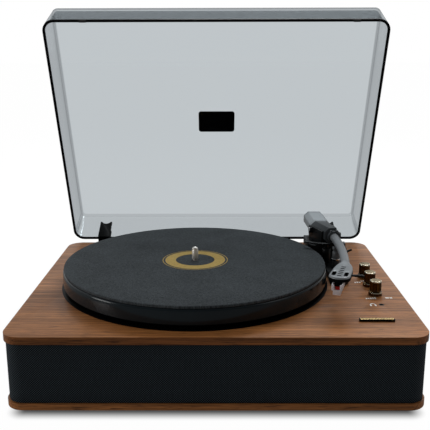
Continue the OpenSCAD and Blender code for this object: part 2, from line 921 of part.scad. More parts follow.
// Fluted grip on a flared skirt with a pointer notch, and the shaft below
module knob(y, pointer) {
    flutes = 24;
    on_deck() translate([knob_x, y, deck_z + knob_lift]) rotate([0, 0, pointer]) {
        difference() {
            union() {
                cylinder(r = skirt_r, h = 3.4);
                translate([0, 0, 3.4]) cylinder(r = knob_r - 0.6, h = 1);
                translate([0, 0, 4.4]) cylinder(r = knob_r, h = knob_h - knob_lift - 4.4);
            }
            for (i = [0:flutes - 1]) {
                rotate([0, 0, i * 360 / flutes]) translate([knob_r + 0.25, 0, 5])
                    cylinder(r = 0.5, h = knob_h - knob_lift - 7, $fn = 24);
            }
            translate([-0.4, 1.5, knob_h - knob_lift - 0.4]) cube([0.8, knob_r, 1]);
            translate([0, 0, -over]) cylinder(r = pot_neck_r + 0.35, h = 1 + over);
        }
        translate([0, 0, plate_z - 9 - deck_z]) cylinder(r = pot_shaft_r, h = top_t + 9 + 1);
    }
}

module volume_knob() {
    color("#8a6a34") knob(knob_ys[0], 140);
}

module function_knob() {
    color("#8a6a34") knob(knob_ys[1], 30);
}

module speed_knob() {
    color("#8a6a34") knob(knob_ys[2], 30);
}

// ---- Dust cover ----

// One side's base: a screwed plate and two ears for the pin
module hinge_base() {
    difference() {
        union() {
            translate([-14, plinth_d / 2, 46]) cube([28, 2.5, 20]);
            for (s = [-1, 1]) {
                translate([s * 8.2 - 1.8, plinth_d / 2, 60])
                    cube([3.6, hinge_y - plinth_d / 2, hinge_z - 60]);
                translate([s * 8.2 - 1.8, hinge_y, hinge_z]) rotate([0, 90, 0])
                    cylinder(r = knuckle_r, h = 3.6);
            }
        }
        translate([-20, hinge_y, hinge_z]) rotate([0, 90, 0]) cylinder(r = pin_r + loose, h = 40);
        for (s = [-1, 1]) {
            translate([s * 8, plinth_d / 2 - over, 54]) rotate([-90, 0, 0])
                cylinder(r = 1.6, h = 5);
        }
    }
}

module hinge_bases() {
    color("#161616") on_deck() for (s = [-1, 1]) {
        translate([s * hinge_x, 0, 0]) hinge_base();
    }
}

module hinge_pins() {
    color("silver") on_deck() for (s = [-1, 1]) {
        translate([s * hinge_x - 10.5, hinge_y, hinge_z]) rotate([0, 90, 0]) cylinder(r = pin_r, h = 21);
    }
}

module hinge_screws() {
    color("gray") on_deck() for (s = [-1, 1], t = [-1, 1]) {
        translate([s * hinge_x + t * 8, plinth_d / 2, 54]) rotate([-90, 0, 0]) {
            cylinder(r = 1.5, h = 2.5);
            translate([0, 0, 2.5]) cylinder(r = 2.8, h = 1.4);
        }
    }
}

// One side's leaf: it clips over the cover's rear wall and ends in the knuckle.
// The inner leg's end is cut to a hollow between two horns.
module hinge_leaf() {
    inner_y = cover_back - cover_t;
    leg = 30.5;
    tilt = atan(back_draft / (cover_h + cover_t));
    difference() {
        union() {
            translate([-leaf_w / 2, inner_y, rim_z]) rotate([tilt, 0, 0])
                translate([0, -2.5, -1]) cube([leaf_w, 2.5, leg + 1]);
            translate([-leaf_w / 2, inner_y - 2.5, rim_z - 1]) cube([leaf_w, 2.5 + cover_t + 3, 1]);
            translate([-leaf_w / 2, cover_back, rim_z]) rotate([tilt, 0, 0])
                translate([0, 0, -1]) cube([leaf_w, 3, 19]);
            translate([-knuckle_w / 2, cover_back + 1.5, hinge_z]) cube([knuckle_w, 3, rim_z - hinge_z]);
            translate([-knuckle_w / 2, hinge_y, hinge_z]) rotate([0, 90, 0])
                cylinder(r = knuckle_r, h = knuckle_w);
        }
        translate([-20, hinge_y, hinge_z]) rotate([0, 90, 0])
            cylinder(r = pin_r + running, h = 40);
        translate([0, inner_y + over, rim_z + leg + 2.5]) rotate([90, 0, 0]) cylinder(r = 6.5, h = 9);
    }
}

module hinge_leaves() {
    color("#161616") on_cover() for (s = [-1, 1]) {
        translate([s * hinge_x, 0, 0]) hinge_leaf();
    }
}

// A thin slice of the cover's block, moved in by inset: its walls lean in and its
// corners grow tighter with height
module cover_slice(height, inset) {
    share = height / (cover_h + cover_t);
    r = cover_r - corner_taper * share - inset;
    side = side_draft * share + inset;
    front = front_draft * share + inset;
    back = back_draft * share + inset;
    half_w = cover_w / 2 - side;
    for (sx = [-1, 1]) {
        translate([sx * (half_w - r), cover_back - back - r, rim_z + height]) cylinder(r = r, h = 0.01);
        translate([sx * (half_w - r), cover_back - cover_d + front + r, rim_z + height])
            cylinder(r = r, h = 0.01);
    }
}

// The cover's block as one solid, its top edge rounded by round_r
module cover_block(bottom, top, inset, round_r) {
    hull() {
        cover_slice(bottom, inset);
        for (a = [0:22.5:90]) {
            cover_slice(top - 0.01 - round_r * (1 - sin(a)), inset + round_r * (1 - cos(a)));
        }
    }
}

module cover_shell() {
    color("#9aa2a680") on_cover() difference() {
        cover_block(0, cover_h + cover_t, 0, cover_t);
        cover_block(-over, cover_h, cover_t, 1);
    }
}

module cover_label() {
    color("#111111") on_cover()
        translate([0, cover_back - cover_d / 2, rim_z + cover_h + cover_t]) linear_extrude(0.4)
            round_rect(47, 30, 3.5);
}

// Rubber buffers under the rim that meet the top plate
module cover_bumpers() {
    color("#151515") on_cover() for (s = [-1, 1]) {
        translate([s * (cover_w / 2 - cover_t - 40), cover_back - cover_d, rim_z - 1.1])
            cube([8, cover_t, 1.1]);
    }
}

top_plate();
bottom_plate();
front_baffle();
left_panel();
right_panel();
back_panel();
grille_cloth();
feet();
foot_pads();
base_screws();
badge();
bearing_housing();
bearing_bush();
thrust_ball();
motor_can();
motor_plate();
motor_screws();
motor_shaft();
motor_pulley();
drive_belt();
left_speaker();
right_speaker();
speaker_cones();
main_board();
control_board();
control_pots();
headphone_jack();
dc_inlet();
line_out_sockets();
platter();
platter_mat();
mat_emblem();
spindle();
arm_base();
arm_bush();
arm_rest();
cue_tower();
cue_lever();
cue_platform();
arm_yoke();
bearing_screws();
pivot_housing();
tube_collar();
arm_tube();
headshell();
finger_lift();
cartridge();
stylus();
stylus_guard();
counterweight();
volume_knob();
function_knob();
speed_knob();
hinge_bases();
hinge_pins();
hinge_screws();
hinge_leaves();
cover_shell();
cover_label();
cover_bumpers();
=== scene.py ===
"""Looks for the record player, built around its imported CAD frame.

Everything is in metres in the part's own frame: X across the front, Y to the back, Z up.
Lengths in the code are written in millimetres and turned to metres by MM.
"""

import json
import math

import bmesh
import bpy
from mathutils import Matrix, Vector

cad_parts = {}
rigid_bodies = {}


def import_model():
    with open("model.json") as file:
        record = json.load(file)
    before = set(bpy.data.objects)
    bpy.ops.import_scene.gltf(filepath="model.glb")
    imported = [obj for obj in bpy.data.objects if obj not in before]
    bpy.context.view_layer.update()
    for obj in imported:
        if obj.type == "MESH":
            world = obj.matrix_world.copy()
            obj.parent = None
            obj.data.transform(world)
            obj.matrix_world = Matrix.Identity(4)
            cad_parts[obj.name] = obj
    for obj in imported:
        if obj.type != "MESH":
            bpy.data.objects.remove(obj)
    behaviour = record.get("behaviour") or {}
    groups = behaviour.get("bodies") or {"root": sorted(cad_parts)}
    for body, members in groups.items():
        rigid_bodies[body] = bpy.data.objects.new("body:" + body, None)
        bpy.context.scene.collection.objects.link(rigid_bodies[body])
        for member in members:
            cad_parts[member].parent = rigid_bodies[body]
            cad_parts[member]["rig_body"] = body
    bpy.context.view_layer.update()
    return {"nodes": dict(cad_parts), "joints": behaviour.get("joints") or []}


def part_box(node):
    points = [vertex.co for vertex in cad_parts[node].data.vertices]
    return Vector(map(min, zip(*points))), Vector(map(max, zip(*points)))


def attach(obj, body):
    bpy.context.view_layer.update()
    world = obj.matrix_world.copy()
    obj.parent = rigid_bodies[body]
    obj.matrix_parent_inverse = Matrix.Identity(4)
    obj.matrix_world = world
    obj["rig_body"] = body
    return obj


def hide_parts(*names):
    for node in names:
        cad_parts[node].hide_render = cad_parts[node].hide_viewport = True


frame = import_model()
nodes = frame["nodes"]
joints = {j["name"]: j for j in frame["joints"]}
scene = bpy.context.scene
MM = 0.001
UP = Vector((0, 0, 1))


# ---------------------------------------------------------------- places read from the frame

PLATE_LOW, PLATE_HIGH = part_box("top_plate")
PLINTH_MID_Y = (PLATE_LOW.y + PLATE_HIGH.y) / 2
DECK_Z = PLATE_HIGH.z
BAND_LOW, BAND_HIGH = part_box("grille_cloth")
SPINDLE = Vector(joints["platter_spin"]["pos_m"])
PIVOT = Vector(joints["arm_swing"]["pos_m"])
HINGE = Vector(joints["cover_hinge"]["pos_m"])
COVER_OPEN = math.radians(-joints["cover_hinge"]["range_deg"][0])


def turn_about(axis, degrees):
    return Matrix.Rotation(math.radians(degrees), 4, axis)


# The top plate's middle, and the same place on the surface that the player stands on
DECK = Matrix.Translation((0, PLINTH_MID_Y, DECK_Z))
PLINTH_FOOT = Matrix.Translation((0, PLINTH_MID_Y, 0))
# Where the platter turns, on the top plate
SPIN_LINE = Matrix.Translation((SPINDLE.x, SPINDLE.y, DECK_Z))
# The headshell's frame stands at its neck: Y runs forward, and its flat top is at Z = 0
NECK_SIDE, NECK_REACH, HEAD_SLANT, HEAD_RISE = 0.6, 147, 18.4, 40.2
HEAD = (
    Matrix.Translation((PIVOT.x - NECK_SIDE * MM, PIVOT.y - NECK_REACH * MM, 0))
    @ turn_about("Z", 180 - HEAD_SLANT)
    @ Matrix.Translation((0, 0, DECK_Z + HEAD_RISE * MM))
)
# The counterweight's stub runs back from beside the pivot, turned a little
STUB_SIDE, STUB_SLANT = 3.8, 1.9
STUB = Matrix.Translation(PIVOT - Vector((STUB_SIDE, 0, 0)) * MM) @ turn_about("Z", STUB_SLANT)
# The cover's frame: what is drawn shut, at the top plate's middle, stands open
COVER = (
    Matrix.Translation(HINGE)
    @ Matrix.Rotation(-COVER_OPEN, 4, "X")
    @ Matrix.Translation(-HINGE)
    @ DECK
)


# ---------------------------------------------------------------- materials


class Nodes:
    """Short ways to build a material's node tree."""

    def __init__(self, name):
        self.material = bpy.data.materials.new(name)
        self.material.use_nodes = True
        self.tree = self.material.node_tree
        self.shader = self.tree.nodes["Principled BSDF"]
        self.object_place = self.add("ShaderNodeTexCoord").outputs["Object"]

    def add(self, kind, **settings):
        node = self.tree.nodes.new(kind)
        for key, value in settings.items():
            if hasattr(node, key):
                setattr(node, key, value)
            else:
                self.put(value, node.inputs[key.replace("_", " ")])
        return node

    def put(self, value, socket):
        """Links a socket, or sets a plain value."""
        if isinstance(value, bpy.types.NodeSocket):
            self.tree.links.new(value, socket)
        else:
            socket.default_value = value

    def place(self, scale, source=None):
        node = self.add("ShaderNodeMapping")
        self.put(source or self.object_place, node.inputs["Vector"])
        node.inputs["Scale"].default_value = scale
        return node.outputs["Vector"]

    def noise(self, place, scale=1.0, detail=3.0, roughness=0.5, distortion=0.0):
        node = self.add("ShaderNodeTexNoise")
        self.put(place, node.inputs["Vector"])
        node.inputs["Scale"].default_value = scale
        node.inputs["Detail"].default_value = detail
        node.inputs["Roughness"].default_value = roughness
        node.inputs["Distortion"].default_value = distortion
        return node.outputs["Fac"]

    def ramp(self, value, *stops):
        """A colour ramp of (place, grey or colour) stops."""
        node = self.add("ShaderNodeValToRGB")
        self.put(value, node.inputs["Fac"])
        elements = node.color_ramp.elements
        while len(elements) < len(stops):
            elements.new(1.0)
        for element, (place, tone) in zip(elements, stops):
            element.position = place
            tone = (tone, tone, tone) if isinstance(tone, (int, float)) else tone
            element.color = (*tone, 1)
        return node.outputs["Color"]

    def mix(self, share, a, b, blend="MIX"):
        node = self.add("ShaderNodeMix", data_type="RGBA", blend_type=blend)
        self.put(share, node.inputs[0])
        for value, socket in ((a, node.inputs[6]), (b, node.inputs[7])):
            if isinstance(value, tuple) and len(value) == 3:
                value = (*value, 1)
            self.put(value, socket)
        return node.outputs[2]

    def math(self, operation, a, b=0.0):
        node = self.add("ShaderNodeMath", operation=operation)
        self.put(a, node.inputs[0])
        self.put(b, node.inputs[1])
        return node.outputs[0]

    def bump(self, height, strength, distance):
        node = self.add("ShaderNodeBump")
        node.inputs["Strength"].default_value = strength
        node.inputs["Distance"].default_value = distance
        self.put(height, node.inputs["Height"])
        self.put(node.outputs["Normal"], self.shader.inputs["Normal"])

    def set(self, **values):
        for key, value in values.items():
            if isinstance(value, tuple) and len(value) == 3:
                value = (*value, 1)
            self.put(value, self.shader.inputs[key.replace("_", " ")])


def tint(colour, factor):
    return tuple(min(1.0, c * factor) for c in colour)


def moulded(name, colour, rough, grain=900, depth=0.03, metal=0.0, spread=0.12, **more):
    """A finish with fine grain, faint cloudiness and a little handling wear in its gloss."""
    n = Nodes(name)
    cloud = n.noise(n.object_place, 35, 4, 0.6)
    fine = n.noise(n.object_place, grain, 2, 0.5)
    n.set(
        Base_Color=n.ramp(
            cloud, (0.3, tint(colour, 1 - spread)), (0.7, tint(colour, 1 + spread))
        ),
        Roughness=n.ramp(
            n.math("ADD", n.math("MULTIPLY", cloud, 0.7), n.math("MULTIPLY", fine, 0.3)),
            (0.3, rough * 0.85),
            (0.7, rough * 1.15),
        ),
        Metallic=metal,
        **more,
    )
    n.bump(fine, 0.35, depth * MM)
    return n.material


def walnut(name, shift=0.0, light=1.0, warm=1.0):
    """Straight-grained veneer: long bands, fine streaks and short dark pores along X.
    light scales its tone, and warm above 1 takes out green and blue."""
    n = Nodes(name)

    def tone(r, g, b):
        return (r * light, g * light / warm**0.5, b * light / warm)

    spot = n.add("ShaderNodeMapping")
    n.put(n.object_place, spot.inputs["Vector"])
    spot.inputs["Location"].default_value = (shift, shift * 0.7, shift * 1.3)
    source = spot.outputs["Vector"]
    bands = n.noise(n.place((0.9, 26, 26), source), 1, 4, 0.55, 0.6)
    streaks = n.noise(n.place((6, 420, 420), source), 1, 5, 0.72, 0.3)
    fine = n.noise(n.place((24, 1100, 1100), source), 1, 3, 0.75)
    pores = n.noise(n.place((55, 1100, 1100), source), 1, 2, 0.5)
    base = n.ramp(
        bands,
        (0.28, tone(0.265, 0.099, 0.0270)),
        (0.45, tone(0.385, 0.149, 0.0430)),
        (0.58, tone(0.470, 0.187, 0.0560)),
        (0.74, tone(0.580, 0.244, 0.0800)),
    )
    base = n.mix(0.85, base, n.ramp(streaks, (0.30, 0.24), (0.50, 0.50), (0.70, 0.78)), "OVERLAY")
    base = n.mix(0.70, base, n.ramp(fine, (0.32, 0.20), (0.62, 0.70)), "OVERLAY")
    dots = n.ramp(pores, (0.34, 1.0), (0.42, 0.0))
    base = n.mix(n.math("MULTIPLY", dots, 0.6), base, (0.035, 0.014, 0.005))
    n.set(
        Base_Color=base,
        Roughness=n.ramp(streaks, (0.3, 0.50), (0.7, 0.36)),
        Specular_IOR_Level=0.18,
        Coat_Weight=0.12,
        Coat_Roughness=0.18,
    )
    height = n.math("SUBTRACT", n.math("MULTIPLY", streaks, 0.4), dots)
    n.bump(height, 0.35, 0.06 * MM)
    return n.material


def woven(name):
    """Speaker cloth in a fine plain weave, laid out by the band's own coordinates."""
    n = Nodes(name)
    uv = n.add("ShaderNodeUVMap", uv_map="cloth").outputs["UV"]
    pitch = 1.15 * MM
    across = n.add("ShaderNodeSeparateXYZ")
    n.put(uv, across.inputs[0])
    turn = math.pi / pitch
    u = n.math("SINE", n.math("MULTIPLY", across.outputs[0], turn))
    v = n.math("SINE", n.math("MULTIPLY", across.outputs[1], turn))
    over = n.math("MULTIPLY", u, v)
    thread_u = n.math("ABSOLUTE", n.math("COSINE", n.math("MULTIPLY", across.outputs[0], turn)))
    thread_v = n.math("ABSOLUTE", n.math("COSINE", n.math("MULTIPLY", across.outputs[1], turn)))
    gap = n.math("MAXIMUM", n.math("POWER", thread_u, 6.0), n.math("POWER", thread_v, 6.0))
    height = n.math("SUBTRACT", n.math("MULTIPLY", n.math("ABSOLUTE", over), 0.8), gap)
    slub = n.noise(n.place((60, 900, 1), uv), 1, 4, 0.7)
    slub_up = n.noise(n.place((900, 60, 1), uv), 1, 4, 0.7)
    yarn = n.ramp(over, (0.0, (0.0060, 0.0095, 0.0130)), (0.75, (0.1000, 0.1300, 0.1530)))
    yarn = n.mix(0.5, yarn, n.mix(0.5, slub, slub_up), "OVERLAY")
    yarn = n.mix(n.math("MULTIPLY", gap, 0.55), yarn, (0.0005, 0.0009, 0.0013))
    n.set(
        Base_Color=yarn,
        Roughness=n.ramp(slub, (0.3, 0.62), (0.7, 0.8)),
        Specular_IOR_Level=0.12,
        Sheen_Weight=0.02,
        Sheen_Roughness=0.5,
    )
    n.bump(height, 0.7, 0.22 * MM)
    return n.material


def felt(name, dark, pale, sheen=0.12):
    """Short pressed fibre: cloudy tone, fine fluff and a soft sheen."""
    n = Nodes(name)
    cloud = n.noise(n.object_place, 28, 5, 0.6)
    fibre = n.noise(n.place((1, 1, 0.2)), 520, 4, 0.8, 1.2)
    specks = n.noise(n.object_place, 2600, 2, 0.6)
    tone = n.math("ADD", n.math("MULTIPLY", cloud, 0.15), n.math("MULTIPLY", fibre, 0.85))
    n.set(
        Base_Color=n.mix(
            0.25, n.ramp(tone, (0.36, dark), (0.64, pale)), specks, "OVERLAY"
        ),
        Roughness=n.ramp(fibre, (0.3, 0.86), (0.7, 0.98)),
        Specular_IOR_Level=0.15,
        Sheen_Weight=sheen,
        Sheen_Roughness=0.6,
    )
    n.bump(n.math("ADD", fibre, n.math("MULTIPLY", specks, 0.5)), 0.6, 0.25 * MM)
    return n.material


def brushed(name, colour, rough, along=(1, 1, 40), metal=1.0, streak=0.16, **more):
    """Metal with fine streaks: along stretches the grain, so a small number runs with it."""
    n = Nodes(name)
    line = n.noise(n.place(tuple(60 * a for a in along)), 1, 5, 0.7)
    smear = n.noise(n.object_place, 60, 3, 0.6)
    n.set(
        Base_Color=n.ramp(
            line, (0.3, tint(colour, 1 - streak)), (0.7, tint(colour, 1 + streak))
        ),
        Roughness=n.ramp(
            n.mix(0.4, line, smear), (0.3, rough * 0.75), (0.7, rough * 1.3)
        ),
        Metallic=metal,
        **more,
    )
    n.bump(line, 0.2, 0.02 * MM)
    return n.material


def acrylic(name, clear=1.0):
    """Lightly smoked clear sheet: darker where it is looked through at a slant, partly for the
    longer path through the sheet and partly as painted reflection.
    """
    n = Nodes(name)
    slant = n.add("ShaderNodeLayerWeight")
    slant.inputs["Blend"].default_value = 0.5
    dust = n.noise(n.object_place, 420, 3, 0.6)
    through = n.add("ShaderNodeBsdfTransparent")
    # The ramp's dark dip near facing 0.61 and brighter band near 0.84 are painted reflections of
    # the dark platter and the white surround
    n.put(
        n.ramp(
            slant.outputs["Facing"],
            (0.0, tint((0.732, 0.757, 0.772), clear)),
            (0.42, tint((0.722, 0.747, 0.762), clear)),
            (0.61, tint((0.462, 0.485, 0.500), clear)),
            (0.73, tint((0.680, 0.703, 0.718), clear)),
            (0.84, tint((0.745, 0.768, 0.782), clear)),
            (1.0, tint((0.42, 0.44, 0.45), clear)),
        ),
        through.inputs["Color"],
    )
    shine = n.add("ShaderNodeBsdfGlossy")
    shine.inputs["Color"].default_value = (0.55, 0.57, 0.58, 1)
    n.put(n.ramp(dust, (0.3, 0.03), (0.7, 0.07)), shine.inputs["Roughness"])
    mirror = n.add("ShaderNodeFresnel")
    mirror.inputs["IOR"].default_value = 1.49
    both = n.add("ShaderNodeMixShader")
    n.put(n.math("MULTIPLY", mirror.outputs[0], 0.18), both.inputs[0])
    n.put(through.outputs[0], both.inputs[1])
    n.put(shine.outputs[0], both.inputs[2])
    n.put(both.outputs[0], n.tree.nodes["Material Output"].inputs["Surface"])
    n.tree.nodes.remove(n.shader)
    return n.material


def frosted(name, colour, rough, through=0.6):
    """Moulded clear plastic, a little milky."""
    n = Nodes(name)
    cloud = n.noise(n.object_place, 120, 3, 0.5)
    n.set(
        Base_Color=n.ramp(cloud, (0.3, tint(colour, 0.94)), (0.7, tint(colour, 1.05))),
        Roughness=n.ramp(cloud, (0.3, rough * 0.8), (0.7, rough * 1.2)),
        Transmission_Weight=through,
        IOR=1.45,
    )
    n.bump(n.noise(n.object_place, 700, 2), 0.2, 0.02 * MM)
    return n.material


def knurled_gold(name, colour, rough, rings=False, low=0.8, high=1.15):
    """Turned brass: faint lathe rings on caps, and upright streaks on sides. low and high set how
    far the tone spreads; a wide spread paints reflection streaks.
    """
    n = Nodes(name)
    grain = n.noise(n.place((1, 1, 30) if rings else (900, 900, 8)), 40 if rings else 1, 4, 0.7)
    n.set(
        Base_Color=n.ramp(grain, (0.35, tint(colour, low)), (0.65, tint(colour, high))),
        Roughness=n.ramp(grain, (0.3, rough * 0.8), (0.7, rough * 1.25)),
        Metallic=1.0,
    )
    n.bump(grain, 0.25, 0.02 * MM)
    return n.material


MAT_TOP_WOOD = walnut("walnut_top")
MAT_BOTTOM_WOOD = walnut("walnut_bottom", 3.7, 0.8)
# Darker, warmer copies of the walnut for the plates' upright sides: painted shade
MAT_TOP_SIDE_SHADE = walnut("walnut_top_side_painted_shade", 1.9, 0.62, 1.3)
MAT_BOTTOM_SIDE_SHADE = walnut("walnut_bottom_side_painted_shade", 5.3, 0.88, 1.1)
MAT_CLOTH = woven("speaker_cloth")
MAT_FELT = felt("slate_felt", (0.0110, 0.0145, 0.0165), (0.1000, 0.1150, 0.1250), 0.04)
MAT_GOLD_PRINT = felt("gold_print", (0.50, 0.34, 0.095), (0.74, 0.52, 0.18), 0.02)
MAT_GLOSS = moulded(
    "gloss_black", (0.0100, 0.0170, 0.0215), 0.16, 600, 0.004, Specular_IOR_Level=0.26
)
MAT_SPINDLE = brushed("spindle_steel", (0.92, 0.88, 0.82), 0.42, streak=0.05, metal=0.55)
MAT_CHROME = brushed("chrome", (0.80, 0.79, 0.78), 0.10, (40, 40, 1), streak=0.05)
MAT_BLACK = moulded(
    "satin_black_plastic", (0.0030, 0.0036, 0.0042), 0.34, 1300, 0.05, Specular_IOR_Level=0.20
)
MAT_HOUSING = moulded(
    "housing_plastic", (0.0460, 0.0520, 0.0570), 0.34, 1300, 0.04, Specular_IOR_Level=0.35
)
MAT_ARM = moulded(
    "grey_arm_paint", (0.245, 0.260, 0.274), 0.36, 1500, 0.02, metal=0.25, spread=0.06
)
MAT_REST = moulded("rest_paint", (0.105, 0.110, 0.116), 0.40, 1500, 0.02, metal=0.2, spread=0.06)
MAT_WEIGHT = brushed(
    "weight_paint", (0.48, 0.51, 0.53), 0.42, (30, 1, 30), metal=0.35, streak=0.07
)
# The knob's brass in three tones by where it faces: dark sides with wide streaks are painted dark
# reflections, the cap a middle tone, the bright rim brass painted highlights
MAT_KNOB = knurled_gold("brass_painted_dark_reflections", (0.085, 0.048, 0.014), 0.24, False, 0.08, 2.4)
MAT_KNOB_CAP = knurled_gold("brass_cap", (0.26, 0.205, 0.12), 0.42, True, 0.92, 1.06)
MAT_KNOB_RIM = knurled_gold("brass_painted_highlight", (0.86, 0.78, 0.60), 0.18, True)
MAT_ACRYLIC = acrylic("smoked_acrylic")
# Darker copies of the acrylic for the front wall and the round top edge: painted shade
MAT_ACRYLIC_FRONT_SHADE = acrylic("smoked_acrylic_front_painted_shade", 0.86)
MAT_ACRYLIC_TURN_SHADE = acrylic("smoked_acrylic_turn_painted_shade", 0.80)
MAT_EDGE = moulded(
    "black_edge", (0.0015, 0.0018, 0.002), 0.40, 1300, 0.01, Specular_IOR_Level=0.05
)
MAT_LABEL = moulded(
    "label_black", (0.0025, 0.0025, 0.003), 0.25, 900, 0.006, Specular_IOR_Level=0.15
)
MAT_GUARD = frosted("guard_plastic", (0.98, 0.93, 0.97), 0.30, 0.28)
MAT_RED = moulded("red_plastic", (0.90, 0.030, 0.022), 0.28, 900, 0.01, spread=0.08)
MAT_FOOT = brushed("foot_metal", (0.86, 0.88, 0.90), 0.40, (1, 1, 60), metal=0.2)
MAT_RUBBER = moulded("black_rubber", (0.014, 0.014, 0.015), 0.75, 700, 0.08)
MAT_STEEL = brushed("plated_steel", (0.45, 0.45, 0.46), 0.32, (1, 30, 30))
MAT_BRASS = brushed("polished_brass", (0.58, 0.42, 0.18), 0.24, (1, 1, 30))
MAT_BADGE = knurled_gold("badge_gold", (0.74, 0.54, 0.24), 0.28)
MAT_BOARD = moulded("painted_board", (0.022, 0.022, 0.024), 0.7, 500, 0.08)
MAT_CIRCUIT = moulded("solder_mask", (0.010, 0.075, 0.028), 0.35, 700, 0.02, spread=0.25)
MAT_PAPER = felt("speaker_paper", (0.014, 0.014, 0.015), (0.030, 0.030, 0.032), 0.02)
MAT_FRAME = moulded("pressed_frame", (0.03, 0.03, 0.032), 0.45, 900, 0.04, metal=0.3)
MAT_WHITE_PRINT = moulded("white_print", (0.95, 0.93, 0.86), 0.55, 1500, 0.01, spread=0.04)


# ---------------------------------------------------------------- mesh helpers


def from_bmesh(name, bm, body, materials, replaces=(), place=None, angle=35):
    """Puts a bmesh in the scene as a piece that rides a body, and frees it. place moves it
    from its own frame, and its edges sharper than angle look sharp."""
    bmesh.ops.recalc_face_normals(bm, faces=bm.faces)
    if place is not None:
        bm.transform(place)
    mesh = bpy.data.meshes.new(name)
    bm.to_mesh(mesh)
    bm.free()
    for material in materials:
        mesh.materials.append(material)
    mesh.shade_smooth()
    mesh.set_sharp_from_angle(angle=math.radians(angle))
    piece = bpy.data.objects.new(name, mesh)
    scene.collection.objects.link(piece)
    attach(piece, body)
    if replaces:
        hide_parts(*replaces)
    return piece


def round_edges(bm, edges, width, segments):
    bmesh.ops.bevel(
        bm, geom=edges, offset=width * MM, offset_type="OFFSET", segments=segments,
        profile=0.5, affect="EDGES", clamp_overlap=True,
    )


def soften(bm, width, segments=2, angle=40):
    """Rounds the edges sharper than angle by width in mm."""
    limit = math.radians(angle)
    edges = [e for e in bm.edges if e.is_manifold and e.calc_face_angle(0) > limit]
    if edges:
        round_edges(bm, edges, width, segments)


def recut(node, material, width, segments=2, angle=40, sides=None):
    """Stands in for a CAD node with the same shape, its edges rounded by width in mm.
    sides is the material of its upright faces, if that isn't the same."""
    bm = bmesh.new()
    bm.from_mesh(nodes[node].data)
    bmesh.ops.remove_doubles(bm, verts=bm.verts, dist=2e-6)
    flat = math.radians(0.5)
    bmesh.ops.dissolve_limit(bm, angle_limit=flat, verts=bm.verts, edges=bm.edges)
    soften(bm, width, segments, angle)
    for face in bm.faces:
        face.material_index = 1 if sides and abs(face.normal.z) < 0.35 else 0
    materials = [material, sides] if sides else [material]
    from_bmesh(node + "_look", bm, nodes[node]["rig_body"], materials, [node])


def ring_verts(bm, points):
    """New vertices at points in mm."""
    return [bm.verts.new([c * MM for c in p]) for p in points]


def level_ring(bm, outline, z):
    return ring_verts(bm, [(x, y, z) for x, y in outline])


def bridge(bm, a, b, closed=True, index=0):
    """Quads between two rings of the same length."""
    for i in range(len(a) if closed else len(a) - 1):
        j = (i + 1) % len(a)
        bm.faces.new((a[i], a[j], b[j], b[i])).material_index = index


def turned(profile, steps, bands=None, flutes=None):
    """A bmesh turned about Z from (radius, height) points in mm. A radius of 0 ends it in a
    point. bands gives each stretch's material, and flutes = (count, depth, z0, z1) grooves
    the rings between two heights."""
    bm = bmesh.new()
    last = None
    for k, (r, z) in enumerate(profile):
        points = []
        for i in range(steps if r > 0 else 1):
            a = math.tau * i / steps
            cut = 0
            if flutes and flutes[2] <= z <= flutes[3]:
                cut = flutes[1] * abs(math.cos(a * flutes[0] / 2)) ** 3
            points.append(((r - cut) * math.cos(a), (r - cut) * math.sin(a), z))
        ring = ring_verts(bm, points)
        if last is not None:
            index = bands[k - 1] if bands else 0
            if len(last) == 1 or len(ring) == 1:
                tip, rim = (last, ring) if len(last) == 1 else (ring, last)
                for i in range(steps):
                    face = bm.faces.new((tip[0], rim[i], rim[(i + 1) % steps]))
                    face.material_index = index
            else:
                bridge(bm, last, ring, True, index)
        last = ring
    return bm


def arc(cx, cy, r, start, end, steps):
    """Points on an arc round a centre, in mm, between two angles in degrees."""
    out = []
    for i in range(steps + 1):
        a = math.radians(start + (end - start) * i / steps)
        out.append((cx + r * math.cos(a), cy + r * math.sin(a)))
    return out


def prism(outline, z0, z1):
    """A bmesh from a closed outline between two heights, in mm."""
    bm = bmesh.new()
    low, high = level_ring(bm, outline, z0), level_ring(bm, outline, z1)
    bridge(bm, low, high)
    bm.faces.new(low)
    bm.faces.new(high)
    return bm


def box(bm, low, high):
    """Adds a box between two corners, in mm, to a bmesh."""
    made = bmesh.ops.create_cube(bm, size=1.0)["verts"]
    size = [(b - a) * MM for a, b in zip(low, high)]
    mid = [(a + b) / 2 * MM for a, b in zip(low, high)]
    matrix = Matrix.Translation(mid) @ Matrix.Diagonal((*size, 1))
    bmesh.ops.transform(bm, verts=made, matrix=matrix)


def join(bm, other):
    """Adds another bmesh's faces to a bmesh, and frees it."""
    spare = bpy.data.meshes.new("spare")
    other.to_mesh(spare)
    other.free()
    bm.from_mesh(spare)
    bpy.data.meshes.remove(spare)


def round_outline(w, d, r, steps=10):
    """A rectangle with round corners, in mm, from its lower right corner anticlockwise."""
    out = []
    for sx, sy, start in ((1, -1, -90), (1, 1, 0), (-1, 1, 90), (-1, -1, 180)):
        out += arc(sx * (w / 2 - r), sy * (d / 2 - r), r, start, start + 90, steps)
    return out


def swept(path, radii, steps):
    """A closed tube along points in mm, in a level plane, with a radius at each point."""
    bm = bmesh.new()
    rings = []
    for k, p in enumerate(path):
        before, after = path[max(k - 1, 0)], path[min(k + 1, len(path) - 1)]
        along = (Vector(after) - Vector(before)).normalized()
        side = along.cross(UP).normalized()
        up = side.cross(along)
        around = [
            (radii[k] * math.cos(math.tau * i / steps), radii[k] * math.sin(math.tau * i / steps))
            for i in range(steps)
        ]
        rings.append(ring_verts(bm, [Vector(p) + u * side + v * up for u, v in around]))
    return loft(bm, rings)


def loft(bm, rings):
    """Joins rings into one closed skin with a flat cap at each end."""
    for a, b in zip(rings, rings[1:]):
        bridge(bm, a, b)
    bm.faces.new(rings[0])
    bm.faces.new(rings[-1])
    return bm


